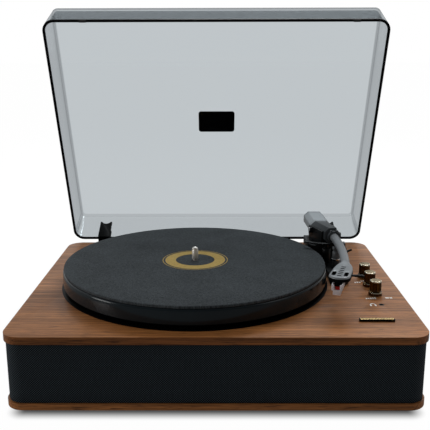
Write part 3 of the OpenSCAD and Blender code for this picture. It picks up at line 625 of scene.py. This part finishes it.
def on_deck(node):
    """The place on the top plate under the middle of a CAD node."""
    low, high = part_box(node)
    return Matrix.Translation(((low.x + high.x) / 2, (low.y + high.y) / 2, DECK_Z))


# ---------------------------------------------------------------- camera and studio

# Where the camera stands, and how far it looks down, turns left and leans, in degrees
CAMERA_PLACE = Vector((3.47 * MM, PLINTH_MID_Y - 741.2 * MM, 336.8 * MM))
CAMERA_PITCH, CAMERA_YAW, CAMERA_ROLL = 13.51, 0.37, -0.13
CAMERA_LENS = 57.14
CAMERA_SENSOR = 36.0
# Half the size of the shaded rectangle under the player, and how far the shade runs out of it,
# in metres
SHADE_HALF = (0.183, 0.146)
SHADE_WIDTH = 0.020


def make_camera():
    """The view of the open player from just above its front."""
    data = bpy.data.cameras.new("camera")
    data.sensor_width = CAMERA_SENSOR
    data.lens = CAMERA_LENS
    data.clip_start = 0.01
    camera = bpy.data.objects.new("camera", data)
    aim = turn_about("Z", CAMERA_YAW) @ turn_about("X", 90 - CAMERA_PITCH)
    aim = aim @ turn_about("Z", CAMERA_ROLL)
    camera.matrix_world = Matrix.Translation(CAMERA_PLACE) @ aim
    scene.collection.objects.link(camera)
    scene.camera = camera


def area_light(name, place, target, size, power):
    """A white soft box at a place, in metres and watts, turned to face a target."""
    data = bpy.data.lights.new(name, "AREA")
    data.shape = "RECTANGLE"
    data.size, data.size_y = size
    data.energy = power
    light = bpy.data.objects.new(name, data)
    light.location = place
    aim = Vector(target) - Vector(place)
    light.rotation_euler = aim.to_track_quat("-Z", "Y").to_euler()
    scene.collection.objects.link(light)


def make_studio():
    """A white surround and floor, and three soft boxes."""
    scene.view_settings.view_transform = "Standard"
    world = bpy.data.worlds.new("studio")
    scene.world = world
    world.use_nodes = True
    tree = world.node_tree
    background = tree.nodes["Background"]
    background.inputs["Color"].default_value = (1, 1, 1, 1)
    # The surround looks white everywhere, but lights the player mostly from behind
    path = tree.nodes.new("ShaderNodeLightPath")
    place = tree.nodes.new("ShaderNodeTexCoord")
    parts = tree.nodes.new("ShaderNodeSeparateXYZ")
    level = tree.nodes.new("ShaderNodeMapRange")
    level.interpolation_type = "SMOOTHSTEP"
    for key, value in (("From Min", -0.5), ("From Max", 0.9), ("To Min", 0.10), ("To Max", 0.72)):
        level.inputs[key].default_value = value
    strength = tree.nodes.new("ShaderNodeMath")
    strength.operation = "MAXIMUM"
    tree.links.new(place.outputs["Generated"], parts.inputs["Vector"])
    tree.links.new(parts.outputs["Y"], level.inputs["Value"])
    tree.links.new(level.outputs["Result"], strength.inputs[0])
    tree.links.new(path.outputs["Is Camera Ray"], strength.inputs[1])
    tree.links.new(strength.outputs["Value"], background.inputs["Strength"])
    area_light("back_top", (0.35, 1.0, 1.4), (0, -0.1, 0.08), (1.2, 0.3), 14)
    area_light("left_box", (-1.3, -0.35, 0.27), (0, -0.05, 0.1), (0.4, 0.8), 5)
    area_light("right_box", (1.1, -0.3, 1.0), (0.05, 0, 0.1), (0.4, 0.7), 0.9)
    bpy.ops.mesh.primitive_plane_add(size=40, location=(0, 0, 0))
    floor = bpy.context.object
    floor.name = "floor"
    floor.data.materials.append(floor_material())


def floor_material():
    """White like the surround to look at, with a painted contact shadow close round the player
    where its glow fades.
    """
    n = Nodes("floor")

    def step(operation, first, second=(0, 0, 0)):
        node = n.add("ShaderNodeVectorMath", operation=operation)
        n.put(first, node.inputs[0])
        node.inputs[1].default_value = second
        return node.outputs

    # How far a place lies outside the rectangle under the player that takes the shade
    place = step("SUBTRACT", n.object_place, (0, PLINTH_MID_Y, 0))["Vector"]
    place = step("ABSOLUTE", place)["Vector"]
    place = step("SUBTRACT", place, (*SHADE_HALF, 0))["Vector"]
    away = step("LENGTH", step("MAXIMUM", place)["Vector"])["Value"]
    # The glow fades to dark close round the player: a painted contact shadow
    painted_contact_shade = n.add(
        "ShaderNodeMapRange", interpolation_type="SMOOTHSTEP",
        Value=away, From_Max=SHADE_WIDTH, To_Min=0.08, To_Max=0.98,
    )
    seen = n.add("ShaderNodeLightPath").outputs["Is Camera Ray"]
    seen = n.add("ShaderNodeMapRange", Value=seen, To_Min=0.2)
    n.set(
        Base_Color=(0.04, 0.04, 0.04),
        Roughness=1.0,
        Specular_IOR_Level=0.0,
        Emission_Color=(1, 1, 1),
        Emission_Strength=n.math("MULTIPLY", painted_contact_shade.outputs["Result"], seen.outputs["Result"]),
    )
    return n.material


# ---------------------------------------------------------------- plinth


def make_plates():
    """Veneered faces, their upright sides in darker, warmer copies of the walnut: painted shade.
    """
    recut("top_plate", MAT_TOP_WOOD, 0.9, 4, sides=MAT_TOP_SIDE_SHADE)
    recut("bottom_plate", MAT_BOTTOM_WOOD, 0.9, 4, sides=MAT_BOTTOM_SIDE_SHADE)


def make_cloth():
    """Cloth stretched round the front and sides, tucked in at the plates and rear corners."""
    w = (BAND_HIGH.x - BAND_LOW.x) / MM
    y0 = (BAND_LOW.y - PLINTH_MID_Y) / MM
    y1 = (BAND_HIGH.y - PLINTH_MID_Y) / MM
    r, thick = 16.2, 1.2
    half = w / 2

    def corner(cx, start):
        turn = [math.radians(start + 90 * i / 12) for i in range(13)]
        way = [(math.cos(a), math.sin(a)) for a in turn]
        return [(cx + r * c, y0 + r + r * s, c, s) for c, s in way]

    # The cloth's face from its left rear end, round the front, to its right rear end:
    # each point and the way it faces
    line = [(-half, y1 + (y0 + r - y1) * i / 40, -1.0, 0.0) for i in range(40)]
    line += corner(-half + r, 180)
    line += [(-half + r + (w - 2 * r) * i / 60, y0, 0.0, -1.0) for i in range(1, 60)]
    line += corner(half - r, 270)
    line += [(half, y0 + r + (y1 - y0 - r) * i / 40, 1.0, 0.0) for i in range(1, 41)]
    z0, z1 = BAND_LOW.z / MM, BAND_HIGH.z / MM
    tall = z1 - z0
    tuck = 0.7
    # (height, how far in from the cloth's face): the face curls in under each plate
    rows = [(0.0, 0.45), (0.25, 0.12), (tuck, 0.0)]
    rows += [(tuck + (tall - 2 * tuck) * i / 8, 0.0) for i in range(1, 9)]
    rows += [(tall - 0.25, 0.12), (tall, 0.45)]
    bm = bmesh.new()
    uv = bm.loops.layers.uv.new("cloth")
    lengths = [0.0]
    for a, b in zip(line, line[1:]):
        lengths.append(lengths[-1] + math.dist(a[:2], b[:2]))

    def row(h, inward):
        moved = [(x - nx * inward, y - ny * inward) for x, y, nx, ny in line]
        return level_ring(bm, moved, z0 + h)

    grid = [row(h, inward) for h, inward in rows]
    back = [row(h, thick) for h in (0.0, tall)]
    for k in range(len(grid) - 1):
        bridge(bm, grid[k], grid[k + 1], False)
    bridge(bm, back[0], grid[0], False)
    bridge(bm, grid[-1], back[1], False)
    bridge(bm, back[1], back[0], False)
    for end in (0, -1):
        loop = [g[end] for g in grid] + [back[1][end], back[0][end]]
        bm.faces.new(loop)
    where = {}
    for ring, (h, _) in list(zip(grid, rows)) + [(back[0], (0.0, 0)), (back[1], (tall, 0))]:
        for v, s in zip(ring, lengths):
            where[v] = (s * MM, h * MM)
    for face in bm.faces:
        for loop in face.loops:
            loop[uv].uv = where[loop.vert]
    cloth = from_bmesh(
        "speaker_cloth", bm, "plinth", [MAT_CLOTH], ["grille_cloth"], PLINTH_FOOT
    )


def make_badge():
    """A black bar with a row of plain gold ribs along its top."""
    place = on_deck("badge")
    bm = prism(round_outline(34.4, 5, 0.8, 4), 0, 2.1)
    soften(bm, 0.2)
    from_bmesh("badge_bar", bm, "plinth", [MAT_EDGE], ["badge"], place)
    bm = bmesh.new()
    count = 22
    for i in range(count):
        x = -15.6 + 31.2 * i / (count - 1)
        long = 1.7 if i % 4 else 2.1
        box(bm, (x - 0.5, -long, 2.05), (x + 0.5, long, 2.6))
    soften(bm, 0.12)
    from_bmesh("badge_ribs", bm, "plinth", [MAT_BADGE], [], place)


def make_feet():
    """Four turned metal feet with a groove round them, each on a rubber pad."""
    radius = 17
    profile = [(0, 2.4), (13.1, 2.4), (13.2, 1.2), (15.6, 1.0), (16.6, 1.5), (radius, 2.4)]
    profile += [(radius, 3.4), (16.7, 3.7), (16.7, 4.3), (radius, 4.6), (radius, 7.95), (0, 7.95)]
    pad_profile = [(0, 0), (12, 0), (12.8, 0.3), (13, 0.8), (13, 2.3), (0, 2.3)]
    low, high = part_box("feet")
    inset = Vector((radius, radius, 0)) * MM
    low, high = low + inset, high - inset
    for i, (x, y) in enumerate(
        ((low.x, low.y), (high.x, low.y), (low.x, high.y), (high.x, high.y))
    ):
        place = Matrix.Translation((x, y, 0))
        foot, pad = turned(profile, 72), turned(pad_profile, 72)
        from_bmesh(f"foot_{i}", foot, "plinth", [MAT_FOOT], ["feet"], place)
        from_bmesh(f"foot_pad_{i}", pad, "plinth", [MAT_RUBBER], ["foot_pads"], place)


def make_marks():
    """Plain printed marks by the controls: a level ramp, ticks, a dash and a headphone sign."""
    bm = bmesh.new()
    for i in range(5):
        x = 158.4 + 2.3 * i
        box(bm, (x, -60.4, 0.0), (x + 1.7, -57.4 + 0.7 * i, 0.06))
    box(bm, (179.5, -58.4, 0.0), (183.4, -55.0, 0.06))
    box(bm, (184.2, -58.4, 0.0), (186.8, -55.0, 0.06))
    for x, y in ((156.4, -7.6), (158.9, -7.1), (161.4, -7.6)):
        box(bm, (x, y - 1.2, 0.0), (x + 1.7, y + 2.2, 0.06))
    for x, y in ((164.4, -2.6), (166.6, -2.6)):
        box(bm, (x, y - 1.2, 0.0), (x + 1.4, y + 2.2, 0.06))
    # Headphone sign: a band and two ear pads
    steps = 12
    for i in range(steps):
        a, b = math.pi * i / steps, math.pi * (i + 1) / steps
        part = [
            (162 + r * math.cos(t), -77.2 + 1.4 * r * math.sin(t))
            for r, t in ((1.9, a), (3.1, a), (3.1, b), (1.9, b))
        ]
        bm.faces.new(level_ring(bm, part, 0.06))
    for s in (-1, 1):
        box(bm, (162 + s * 2.5 - 0.9, -80.6, 0.0), (162 + s * 2.5 + 0.9, -77.2, 0.06))
    from_bmesh("plate_marks", bm, "plinth", [MAT_WHITE_PRINT], [], DECK)


# ---------------------------------------------------------------- platter


def make_shade_ring():
    """A thin black ring on the top plate under the platter's edge: painted shade for the dark gap
    under the platter.
    """
    ring = [(130, 0), (130, 0.25), (130.3, 0.35), (149.2, 0.35), (149.5, 0.25), (149.5, 0)]
    bm = turned([*ring, ring[0]], 192)
    from_bmesh("platter_shade_ring", bm, "plinth", [MAT_EDGE], [], SPIN_LINE)


# The felt mat's edge and its hole
FELT_R, FELT_HOLE_R = 146.5, 3.65


def make_platter():
    """A gloss disc with a felt mat, a printed ring on it and the steel spindle."""
    body = [(3.1, 3.3), (12, 3.3), (12, 17.9), (91, 17.9), (91, 6.6), (95, 6.6), (95, 17.9)]
    body += [(144, 17.9), (144, 5.2), (144.3, 5.0), (146.9, 5.0)]
    # The side is very slightly barrelled
    body += [(148 - 0.55 * (k / 5) ** 2, 12.15 + 1.31 * k) for k in range(-5, 6)]
    body += arc(145.25, 18.7, 2.2, 0, 90, 6)[1:] + [(3.1, 20.9), (3.1, 3.3)]
    bm = turned(body, 256)
    from_bmesh("platter_body", bm, "platter", [MAT_GLOSS], ["platter"], SPIN_LINE, 25)
    mat = [(FELT_HOLE_R, 20.92), (145.2, 20.92), (145.9, 21.1), (146.4, 21.7), (FELT_R, 22.9)]
    mat += [(146.3, 23.5), (145.8, 23.8), (144.8, 23.9), (120, 23.9), (90, 23.9), (60, 23.9)]
    mat += [(36, 23.9), (20, 23.9), (5, 23.9), (3.9, 23.8), (FELT_HOLE_R, 23.5), mat[0]]
    bm = turned(mat, 256)
    slip = from_bmesh(
        "felt_mat", bm, "platter", [MAT_FELT], ["platter_mat"], SPIN_LINE, 50
    )

    def printed(inner, outer):
        z0, z1 = 23.9, 23.98
        return turned([(inner, z0), (inner, z1), (outer, z1), (outer, z0), (inner, z0)], 160)

    # The printed band and a hairline outside it
    bm = printed(22, 34)
    join(bm, printed(36.2, 37.0))
    from_bmesh(
        "printed_band", bm, "platter", [MAT_GOLD_PRINT], ["mat_emblem"], SPIN_LINE
    )
    pin = [(0, 20.95), (3.0, 20.95), (3.0, 24.3), (3.25, 24.4), (3.55, 24.7), (3.55, 35.4)]
    pin += [(3.3, 35.9), (3.2, 36.2), (3.2, 36.6)]
    # Its domed tip, flatter than a half ball
    pin += [(x, 36.8 + z * 2.55 / 3.35) for x, z in arc(0, 0, 3.35, 0, 75, 5)]
    pin += [(0, 39.35)]
    bm = turned(pin, 64)
    from_bmesh("spindle_pin", bm, "platter", [MAT_SPINDLE], ["spindle"], SPIN_LINE, 50)


# ---------------------------------------------------------------- tonearm

# The tube bends on one wide arc: its radius, and the arc's point furthest to the side, in mm
# from the pivot
TUBE_ARC_R, TUBE_SIDE, TUBE_SIDE_Y = 560, 6.7, -58


def tube_x(y):
    """The tube's sideways place at a distance along the arm, in mm from the pivot."""
    return TUBE_SIDE - TUBE_ARC_R + math.sqrt(TUBE_ARC_R**2 - (y - TUBE_SIDE_Y) ** 2)


def make_tube():
    """The bent tube, a little thicker at its root."""
    path, radii = [], []
    spots = [(-17 - 4 * i, 5.1 - 0.45 * min(1, i / 25)) for i in range(32)]
    for y, r in spots:
        path.append((PIVOT.x / MM + tube_x(y), PIVOT.y / MM + y, PIVOT.z / MM))
        radii.append(r)
    bm = swept(path, radii, 40)
    from_bmesh("arm_tube_look", bm, "arm_wand", [MAT_ARM], ["arm_tube"], None, 40)


def slit(cx, cy, length, width, turn=0.0):
    """The outline of a slot with round ends, in mm, turned by an angle in degrees."""
    a, r = (length - width) / 2, width / 2
    out = arc(a, 0, r, -90, 90, 6) + arc(-a, 0, r, 90, 270, 6)
    c, s = math.cos(math.radians(turn)), math.sin(math.radians(turn))
    return [(cx + c * x - s * y, cy + s * x + c * y) for x, y in out]


def head_outline(inset, start):
    """The headshell from above: it flares from the neck, then runs to a round front."""
    wide, front, neck, neck_long = 10.9, 38, 5.6, 18
    side = []
    t = start
    while t < neck_long:
        flare = math.sin(math.radians(90 * max(t, 0) / neck_long))
        side.append((neck + (wide - 0.8 - neck) * flare - inset, t))
        t += 2
    round_end = arc(0, front, wide - inset, 0, 180, 24)
    return side + round_end + [(-x, y) for x, y in reversed(side)]


def head_slots():
    """Two long slots and a row of short bars through the headshell."""
    slots = [slit(s * 6.1, 35.5, 12.0, 3.9, 90) for s in (-1, 1)]
    return slots + [slit(0, 12.6 + 5.8 * i, 4.8, 2.3) for i in range(6)]


# Where the shell and its carrier begin, forward of the neck's frame
SHELL_START = 9.0


def make_shell():
    """The grey shell: flat and slotted on top, crowned all round toward its black carrier."""
    bm = bmesh.new()
    crown = [(0.2, -4.0), (0.0, -3.8), (0.0, -2.6)]
    crown += [
        (2.4 * (1 - math.cos(math.radians(a))), -2.6 + 2.6 * math.sin(math.radians(a)))
        for a in (18, 36, 54, 72, 90)
    ]
    rings = [level_ring(bm, head_outline(inset, SHELL_START), z) for inset, z in crown]
    for k, (a, b) in enumerate(zip(rings, rings[1:])):
        bridge(bm, a, b, True, 1 if k < 3 else 0)
    low_loops, high_loops = [rings[0]], [rings[-1]]
    for loop in head_slots():
        low, lip = level_ring(bm, loop, -4.0), level_ring(bm, loop, -0.25)
        mid = Vector((sum(x for x, _ in loop), sum(y for _, y in loop))) / len(loop)
        wider = [(mid.x + (x - mid.x) * 1.05, mid.y + (y - mid.y) * 1.05) for x, y in loop]
        high = level_ring(bm, wider, 0)
        bridge(bm, low, lip, True, 1)
        bridge(bm, lip, high, True, 1)
        low_loops.append(low)
        high_loops.append(high)
    for loops in (low_loops, high_loops):
        edges = [bm.edges.get((v, ring[i - 1])) for ring in loops for i, v in enumerate(ring)]
        bmesh.ops.triangle_fill(bm, use_beauty=True, use_dissolve=False, edges=edges)
    materials = [MAT_ARM, MAT_EDGE]
    from_bmesh("headshell_top", bm, "arm_wand", materials, ["headshell"], HEAD, 50)


def make_neck():
    """A lofted neck: round where it meets the tube, flat and wide where it meets the shell."""
    bm = bmesh.new()
    rings = []
    stations, tube_r, tube_end = 12, 4.65, -139
    # Where the tube goes into the neck, in the headshell's frame
    root = PIVOT + Vector((tube_x(tube_end), tube_end, 0)) * MM
    root = HEAD.inverted() @ root
    tube_z = root.z / MM
    for k in range(stations + 1):
        t = k / stations
        ease = t * t * (3 - 2 * t)
        y = root.y / MM + (11.0 - root.y / MM) * t
        x = root.x / MM * (1 - t) ** 1.6
        wide = tube_r + (8.9 - tube_r) * ease
        high = (tube_z + tube_r) * (1 - ease) + 0.02 * ease
        low = (tube_z - tube_r) * (1 - ease) - 3.9 * ease
        power = 2 + 2.2 * ease
        points = []
        for i in range(40):
            a = math.tau * i / 40
            c, q = math.cos(a), math.sin(a)
            px = wide * math.copysign(abs(c) ** (2 / power), c)
            pz = (high + low) / 2 + (high - low) / 2 * math.copysign(abs(q) ** (2 / power), q)
            points.append((x + px, y, pz))
        rings.append(ring_verts(bm, points))
    loft(bm, rings)
    from_bmesh("headshell_neck", bm, "arm_wand", [MAT_ARM], [], HEAD, 50)


def make_head():
    """Grey slotted shell on a black carrier, in the headshell's own frame (Y forward)."""
    make_shell()
    make_neck()
    bm = prism(head_outline(0.1, SHELL_START), -5, -4.02)
    soften(bm, 0.3, 2, 50)
    from_bmesh("headshell_carrier", bm, "arm_wand", [MAT_EDGE], [], HEAD, 40)
    # Finger lift: a thin stalk that swells into a rounded grip
    stalk = [(0, 1.2), (2.5, 1.35), (5, 1.5), (7.5, 1.6), (9.5, 1.65), (11.3, 1.6)]
    stalk += [(12.4, 1.3), (12.9, 0.6)]
    bm = swept([(x, 0, 0) for x, _ in stalk], [r for _, r in stalk], 18)
    bm.transform(Matrix.Diagonal((1, 1.15, 0.8, 1)))
    lift = HEAD @ Matrix.Translation(Vector((-10.2, 32, -1.8)) * MM) @ turn_about("Z", 186)
    from_bmesh("finger_grip", bm, "arm_wand", [MAT_BLACK], ["finger_lift"], lift, 60)


def make_cartridge():
    """A stepped black cartridge, its red stylus holder and tip, and the clear guard."""
    bm = bmesh.new()
    box(bm, (-5, 24, -13), (5, 36, -5.02))
    box(bm, (-3.8, 35.9, -13), (3.8, 44, -5.02))
    box(bm, (-2.4, 43.9, -9.4), (2.4, 48, -5.1))
    soften(bm, 0.35)
    from_bmesh("cartridge_body", bm, "arm_wand", [MAT_EDGE], ["cartridge"], HEAD)
    bm = bmesh.new()
    box(bm, (-2.3, 38, -14.6), (2.3, 48, -13.02))
    box(bm, (-2.3, 44.05, -13.3), (2.3, 48.05, -9.5))
    soften(bm, 0.25)
    tip = turned([(0, -15.2), (0.15, -15.0), (0.4, -14.6), (0.4, -14.2), (0, -14.2)], 12)
    tip.transform(Matrix.Translation((0, 46.5 * MM, 0)))
    join(bm, tip)
    from_bmesh("stylus_holder", bm, "arm_wand", [MAT_RED], ["stylus"], HEAD)
    recut("stylus_guard", MAT_GUARD, 0.2)


def octagon(w, h, c):
    """A rectangle with its corners cut off by c."""
    a, b = w / 2, h / 2
    return [
        (a - c, -b), (a, c - b), (a, b - c), (a - c, b),
        (c - a, b), (-a, b - c), (-a, c - b), (c - a, -b),
    ]


def make_weight():
    """Eight-sided weight with rounded edges, a turned end and two fine grooves."""
    wide, high, cut = 26, 18.4, 5.2
    # (distance back from the pivot, how far its faces stand out there)
    spots = [(7.6, -0.6), (8.2, 0.0), (11.6, 0.0), (11.9, -0.35), (12.5, -0.35), (12.8, 0.0)]
    spots += [(57.6, 0.0), (57.9, -0.35), (58.5, -0.35), (58.8, 0.0), (61.6, 0.0), (62.6, -0.4)]
    spots += [(63, -1.2)]
    bm = bmesh.new()
    rings = []
    for y, out in spots:
        outline = octagon(wide + 2 * out, high + 2 * out, cut + 0.6 * out)
        rings.append(ring_verts(bm, [(x, y, z) for x, z in outline]))
    loft(bm, rings)
    along = [e for e in bm.edges if abs((e.verts[0].co - e.verts[1].co).normalized().y) > 0.9]
    round_edges(bm, along, 0.7, 3)
    from_bmesh(
        "weight_look", bm, "counterweight", [MAT_WEIGHT], ["counterweight"], STUB, 28
    )


def make_arm_base():
    """The pedestal, lift, yoke, housing and rest, with a bright ring round the rest's post."""
    recut("arm_base", MAT_BLACK, 0.8, 3)
    for node, width in (
        ("cue_tower", 0.4), ("cue_platform", 0.5), ("cue_lever", 0.45), ("arm_yoke", 0.5)
    ):
        recut(node, MAT_BLACK, width)
    recut("pivot_housing", MAT_HOUSING, 0.7, 3, 25)
    recut("tube_collar", MAT_HOUSING, 0.4)
    recut("arm_rest", MAT_REST, 0.4, 3)
    recut("bearing_screws", MAT_STEEL, 0.3)
    ring = [(5.25, 17.1), (5.45, 17.3), (5.45, 18.7), (5.25, 18.9), (4.4, 18.9), (4.4, 17.1)]
    bm = turned([*ring, ring[0]], 48)
    place = Matrix.Translation((PIVOT.x + 5 * MM, PIVOT.y - 59 * MM, DECK_Z))
    from_bmesh("rest_ring", bm, "plinth", [MAT_CHROME], [], place)


# ---------------------------------------------------------------- controls


def make_knob(node):
    """A fluted grip between a flared skirt and a gold cap; bright bands on the skirt and the
    cap's edge are painted highlights.
    """
    z = 0.5
    profile = [(0, z + 0.1), (6.9, z), (7.3, z + 0.3), (7.4, z + 0.9), (7.35, z + 2.4)]
    profile += [(7.0, z + 3.2), (6.3, z + 3.5), (5.7, z + 3.7), (5.55, z + 4.2), (5.8, z + 4.5)]
    profile += [(6.1, z + 4.7), (6.15, z + 5.2), (6.15, z + 13.9), (6.1, z + 14.2)]
    # The skirt's upper band and the cap's round edge take the bright rim brass: painted
    # highlights
    body_bands = [0, 0, 0, 0, 2] + [0] * (len(profile) - 6)
    cap = [(6.12, z + 14.3), (6.12, z + 15.1), (5.95, z + 15.5), (5.6, z + 15.7)]
    cap += [(5.2, z + 15.7), (5.0, z + 15.5), (0, z + 15.5)]
    bands = body_bands + [1] + [2, 2, 2, 2] + [1, 1]
    bm = turned(profile + cap, 144, bands, (24, 0.55, z + 5.0, z + 13.95))
    materials = [MAT_KNOB, MAT_KNOB_CAP, MAT_KNOB_RIM]
    from_bmesh(node + "_look", bm, node, materials, [node], on_deck(node), 40)


def make_pointer(node, angle):
    """A dark line on a knob's cap, turned from the back by an angle in degrees."""
    bm = bmesh.new()
    box(bm, (-0.35, 1.6, 15.9), (0.35, 5.0, 16.1))
    place = on_deck(node) @ turn_about("Z", angle)
    from_bmesh(node + "_pointer", bm, node, [MAT_EDGE], [], place)


def make_controls():
    for node, angle in (("volume_knob", 140), ("function_knob", 30), ("speed_knob", 30)):
        make_knob(node)
        make_pointer(node, angle)
    recut("headphone_jack", MAT_BLACK, 0.2)


# ---------------------------------------------------------------- dust cover

COVER_W, COVER_D, COVER_H, COVER_T = 394.0, 311.8, 48.1, 3.0
COVER_BACK, COVER_RIM = 159.0, 1.2
SIDE_DRAFT, FRONT_DRAFT, BACK_DRAFT, CORNER_TAPER = 1.7, 3.8, 3.8, 6.5


def cover_ring(height, inset):
    """The cover's outline at a height above its rim, moved in by inset, shut, in mm."""
    share = height / (COVER_H + COVER_T)
    side, front = SIDE_DRAFT * share + inset, FRONT_DRAFT * share + inset
    half = COVER_W / 2 - side
    y0, y1 = COVER_BACK - COVER_D + front, COVER_BACK - BACK_DRAFT * share - inset
    r = 14 - CORNER_TAPER * share - inset
    out = []
    for cx, cy, start in (
        (half - r, y0 + r, -90), (half - r, y1 - r, 0),
        (-half + r, y1 - r, 90), (-half + r, y0 + r, 180),
    ):
        out += arc(cx, cy, r, start, start + 90, 14)
    return out


def make_cover():
    """A thin clear shell with a rounded top edge and a black rim."""
    top = COVER_H + COVER_T
    bm = bmesh.new()

    def ring(height, inset):
        return level_ring(bm, cover_ring(height, inset), COVER_RIM + height)

    round_r, inner_r = 3.0, 1.2
    outer = [ring(0.0, 0.25), ring(0.25, 0.0), ring(2.0, 0.0), ring(12, 0.0), ring(30, 0.0)]
    outer += [
        ring(top - round_r * (1 - math.sin(a)), round_r * (1 - math.cos(a)))
        for a in (math.radians(d) for d in (0, 18, 36, 54, 72, 90))
    ]
    inner = [ring(0.0, COVER_T - 0.25)] + [ring(h, COVER_T) for h in (0.25, 1.8, 12, 30)]
    inner += [
        ring(COVER_H - inner_r * (1 - math.sin(a)), COVER_T + inner_r * (1 - math.cos(a)))
        for a in (math.radians(d) for d in (0, 30, 60, 90))
    ]
    # Each skin is black up to its third ring, and the outer one's round edge has its own darker
    # tint: painted shade
    for rings, turn in ((outer, 3), (inner, 0)):
        for k, (a, b) in enumerate(zip(rings, rings[1:])):
            bridge(bm, a, b, True, 1 if k < 2 else turn if k > 4 else 0)
        bm.faces.new(rings[-1])
    bridge(bm, outer[0], inner[0], True, 1)
    bm.normal_update()
    # The front wall's faces take a darker copy of the acrylic: painted shade
    for face in bm.faces:
        front = abs(face.normal.y) > 0.9 and face.calc_center_median().y < 0
        if front and face.material_index == 0:
            face.material_index = 2
    from_bmesh(
        "cover_clear", bm, "dust_cover",
        [MAT_ACRYLIC, MAT_EDGE, MAT_ACRYLIC_FRONT_SHADE, MAT_ACRYLIC_TURN_SHADE],
        ["cover_shell"], COVER, 30,
    )
    bm = prism(round_outline(47, 30, 3.5, 8), 0, 0.4)
    soften(bm, 0.12, 2, 50)
    place = COVER @ Matrix.Translation(
        Vector((0, COVER_BACK - COVER_D / 2, COVER_RIM + top)) * MM
    )
    from_bmesh("cover_plaque", bm, "dust_cover", [MAT_LABEL], ["cover_label"], place)
    recut("cover_bumpers", MAT_RUBBER, 0.25)
    recut("hinge_leaves", MAT_EDGE, 0.5)
    recut("hinge_bases", MAT_BLACK, 0.5)


# ---------------------------------------------------------------- what lies inside or behind


def dress_the_rest():
    """Gives the CAD nodes that stay a finished material."""
    for material, names in (
        (MAT_BOARD, "front_baffle left_panel right_panel back_panel"),
        (MAT_STEEL, "base_screws motor_screws hinge_screws motor_plate motor_shaft hinge_pins"),
        (MAT_STEEL, "thrust_ball control_pots"),
        (MAT_FOOT, "bearing_housing motor_can"),
        (MAT_BRASS, "bearing_bush motor_pulley line_out_sockets arm_bush"),
        (MAT_RUBBER, "drive_belt"),
        (MAT_FRAME, "left_speaker right_speaker"),
        (MAT_PAPER, "speaker_cones"),
        (MAT_CIRCUIT, "main_board control_board"),
        (MAT_BLACK, "dc_inlet"),
    ):
        for name in names.split():
            nodes[name].data.materials.clear()
            nodes[name].data.materials.append(material)


make_camera()
make_studio()
make_plates()
make_cloth()
make_badge()
make_feet()
make_marks()
make_shade_ring()
make_platter()
make_tube()
make_head()
make_cartridge()
make_weight()
make_arm_base()
make_controls()
make_cover()
dress_the_rest()
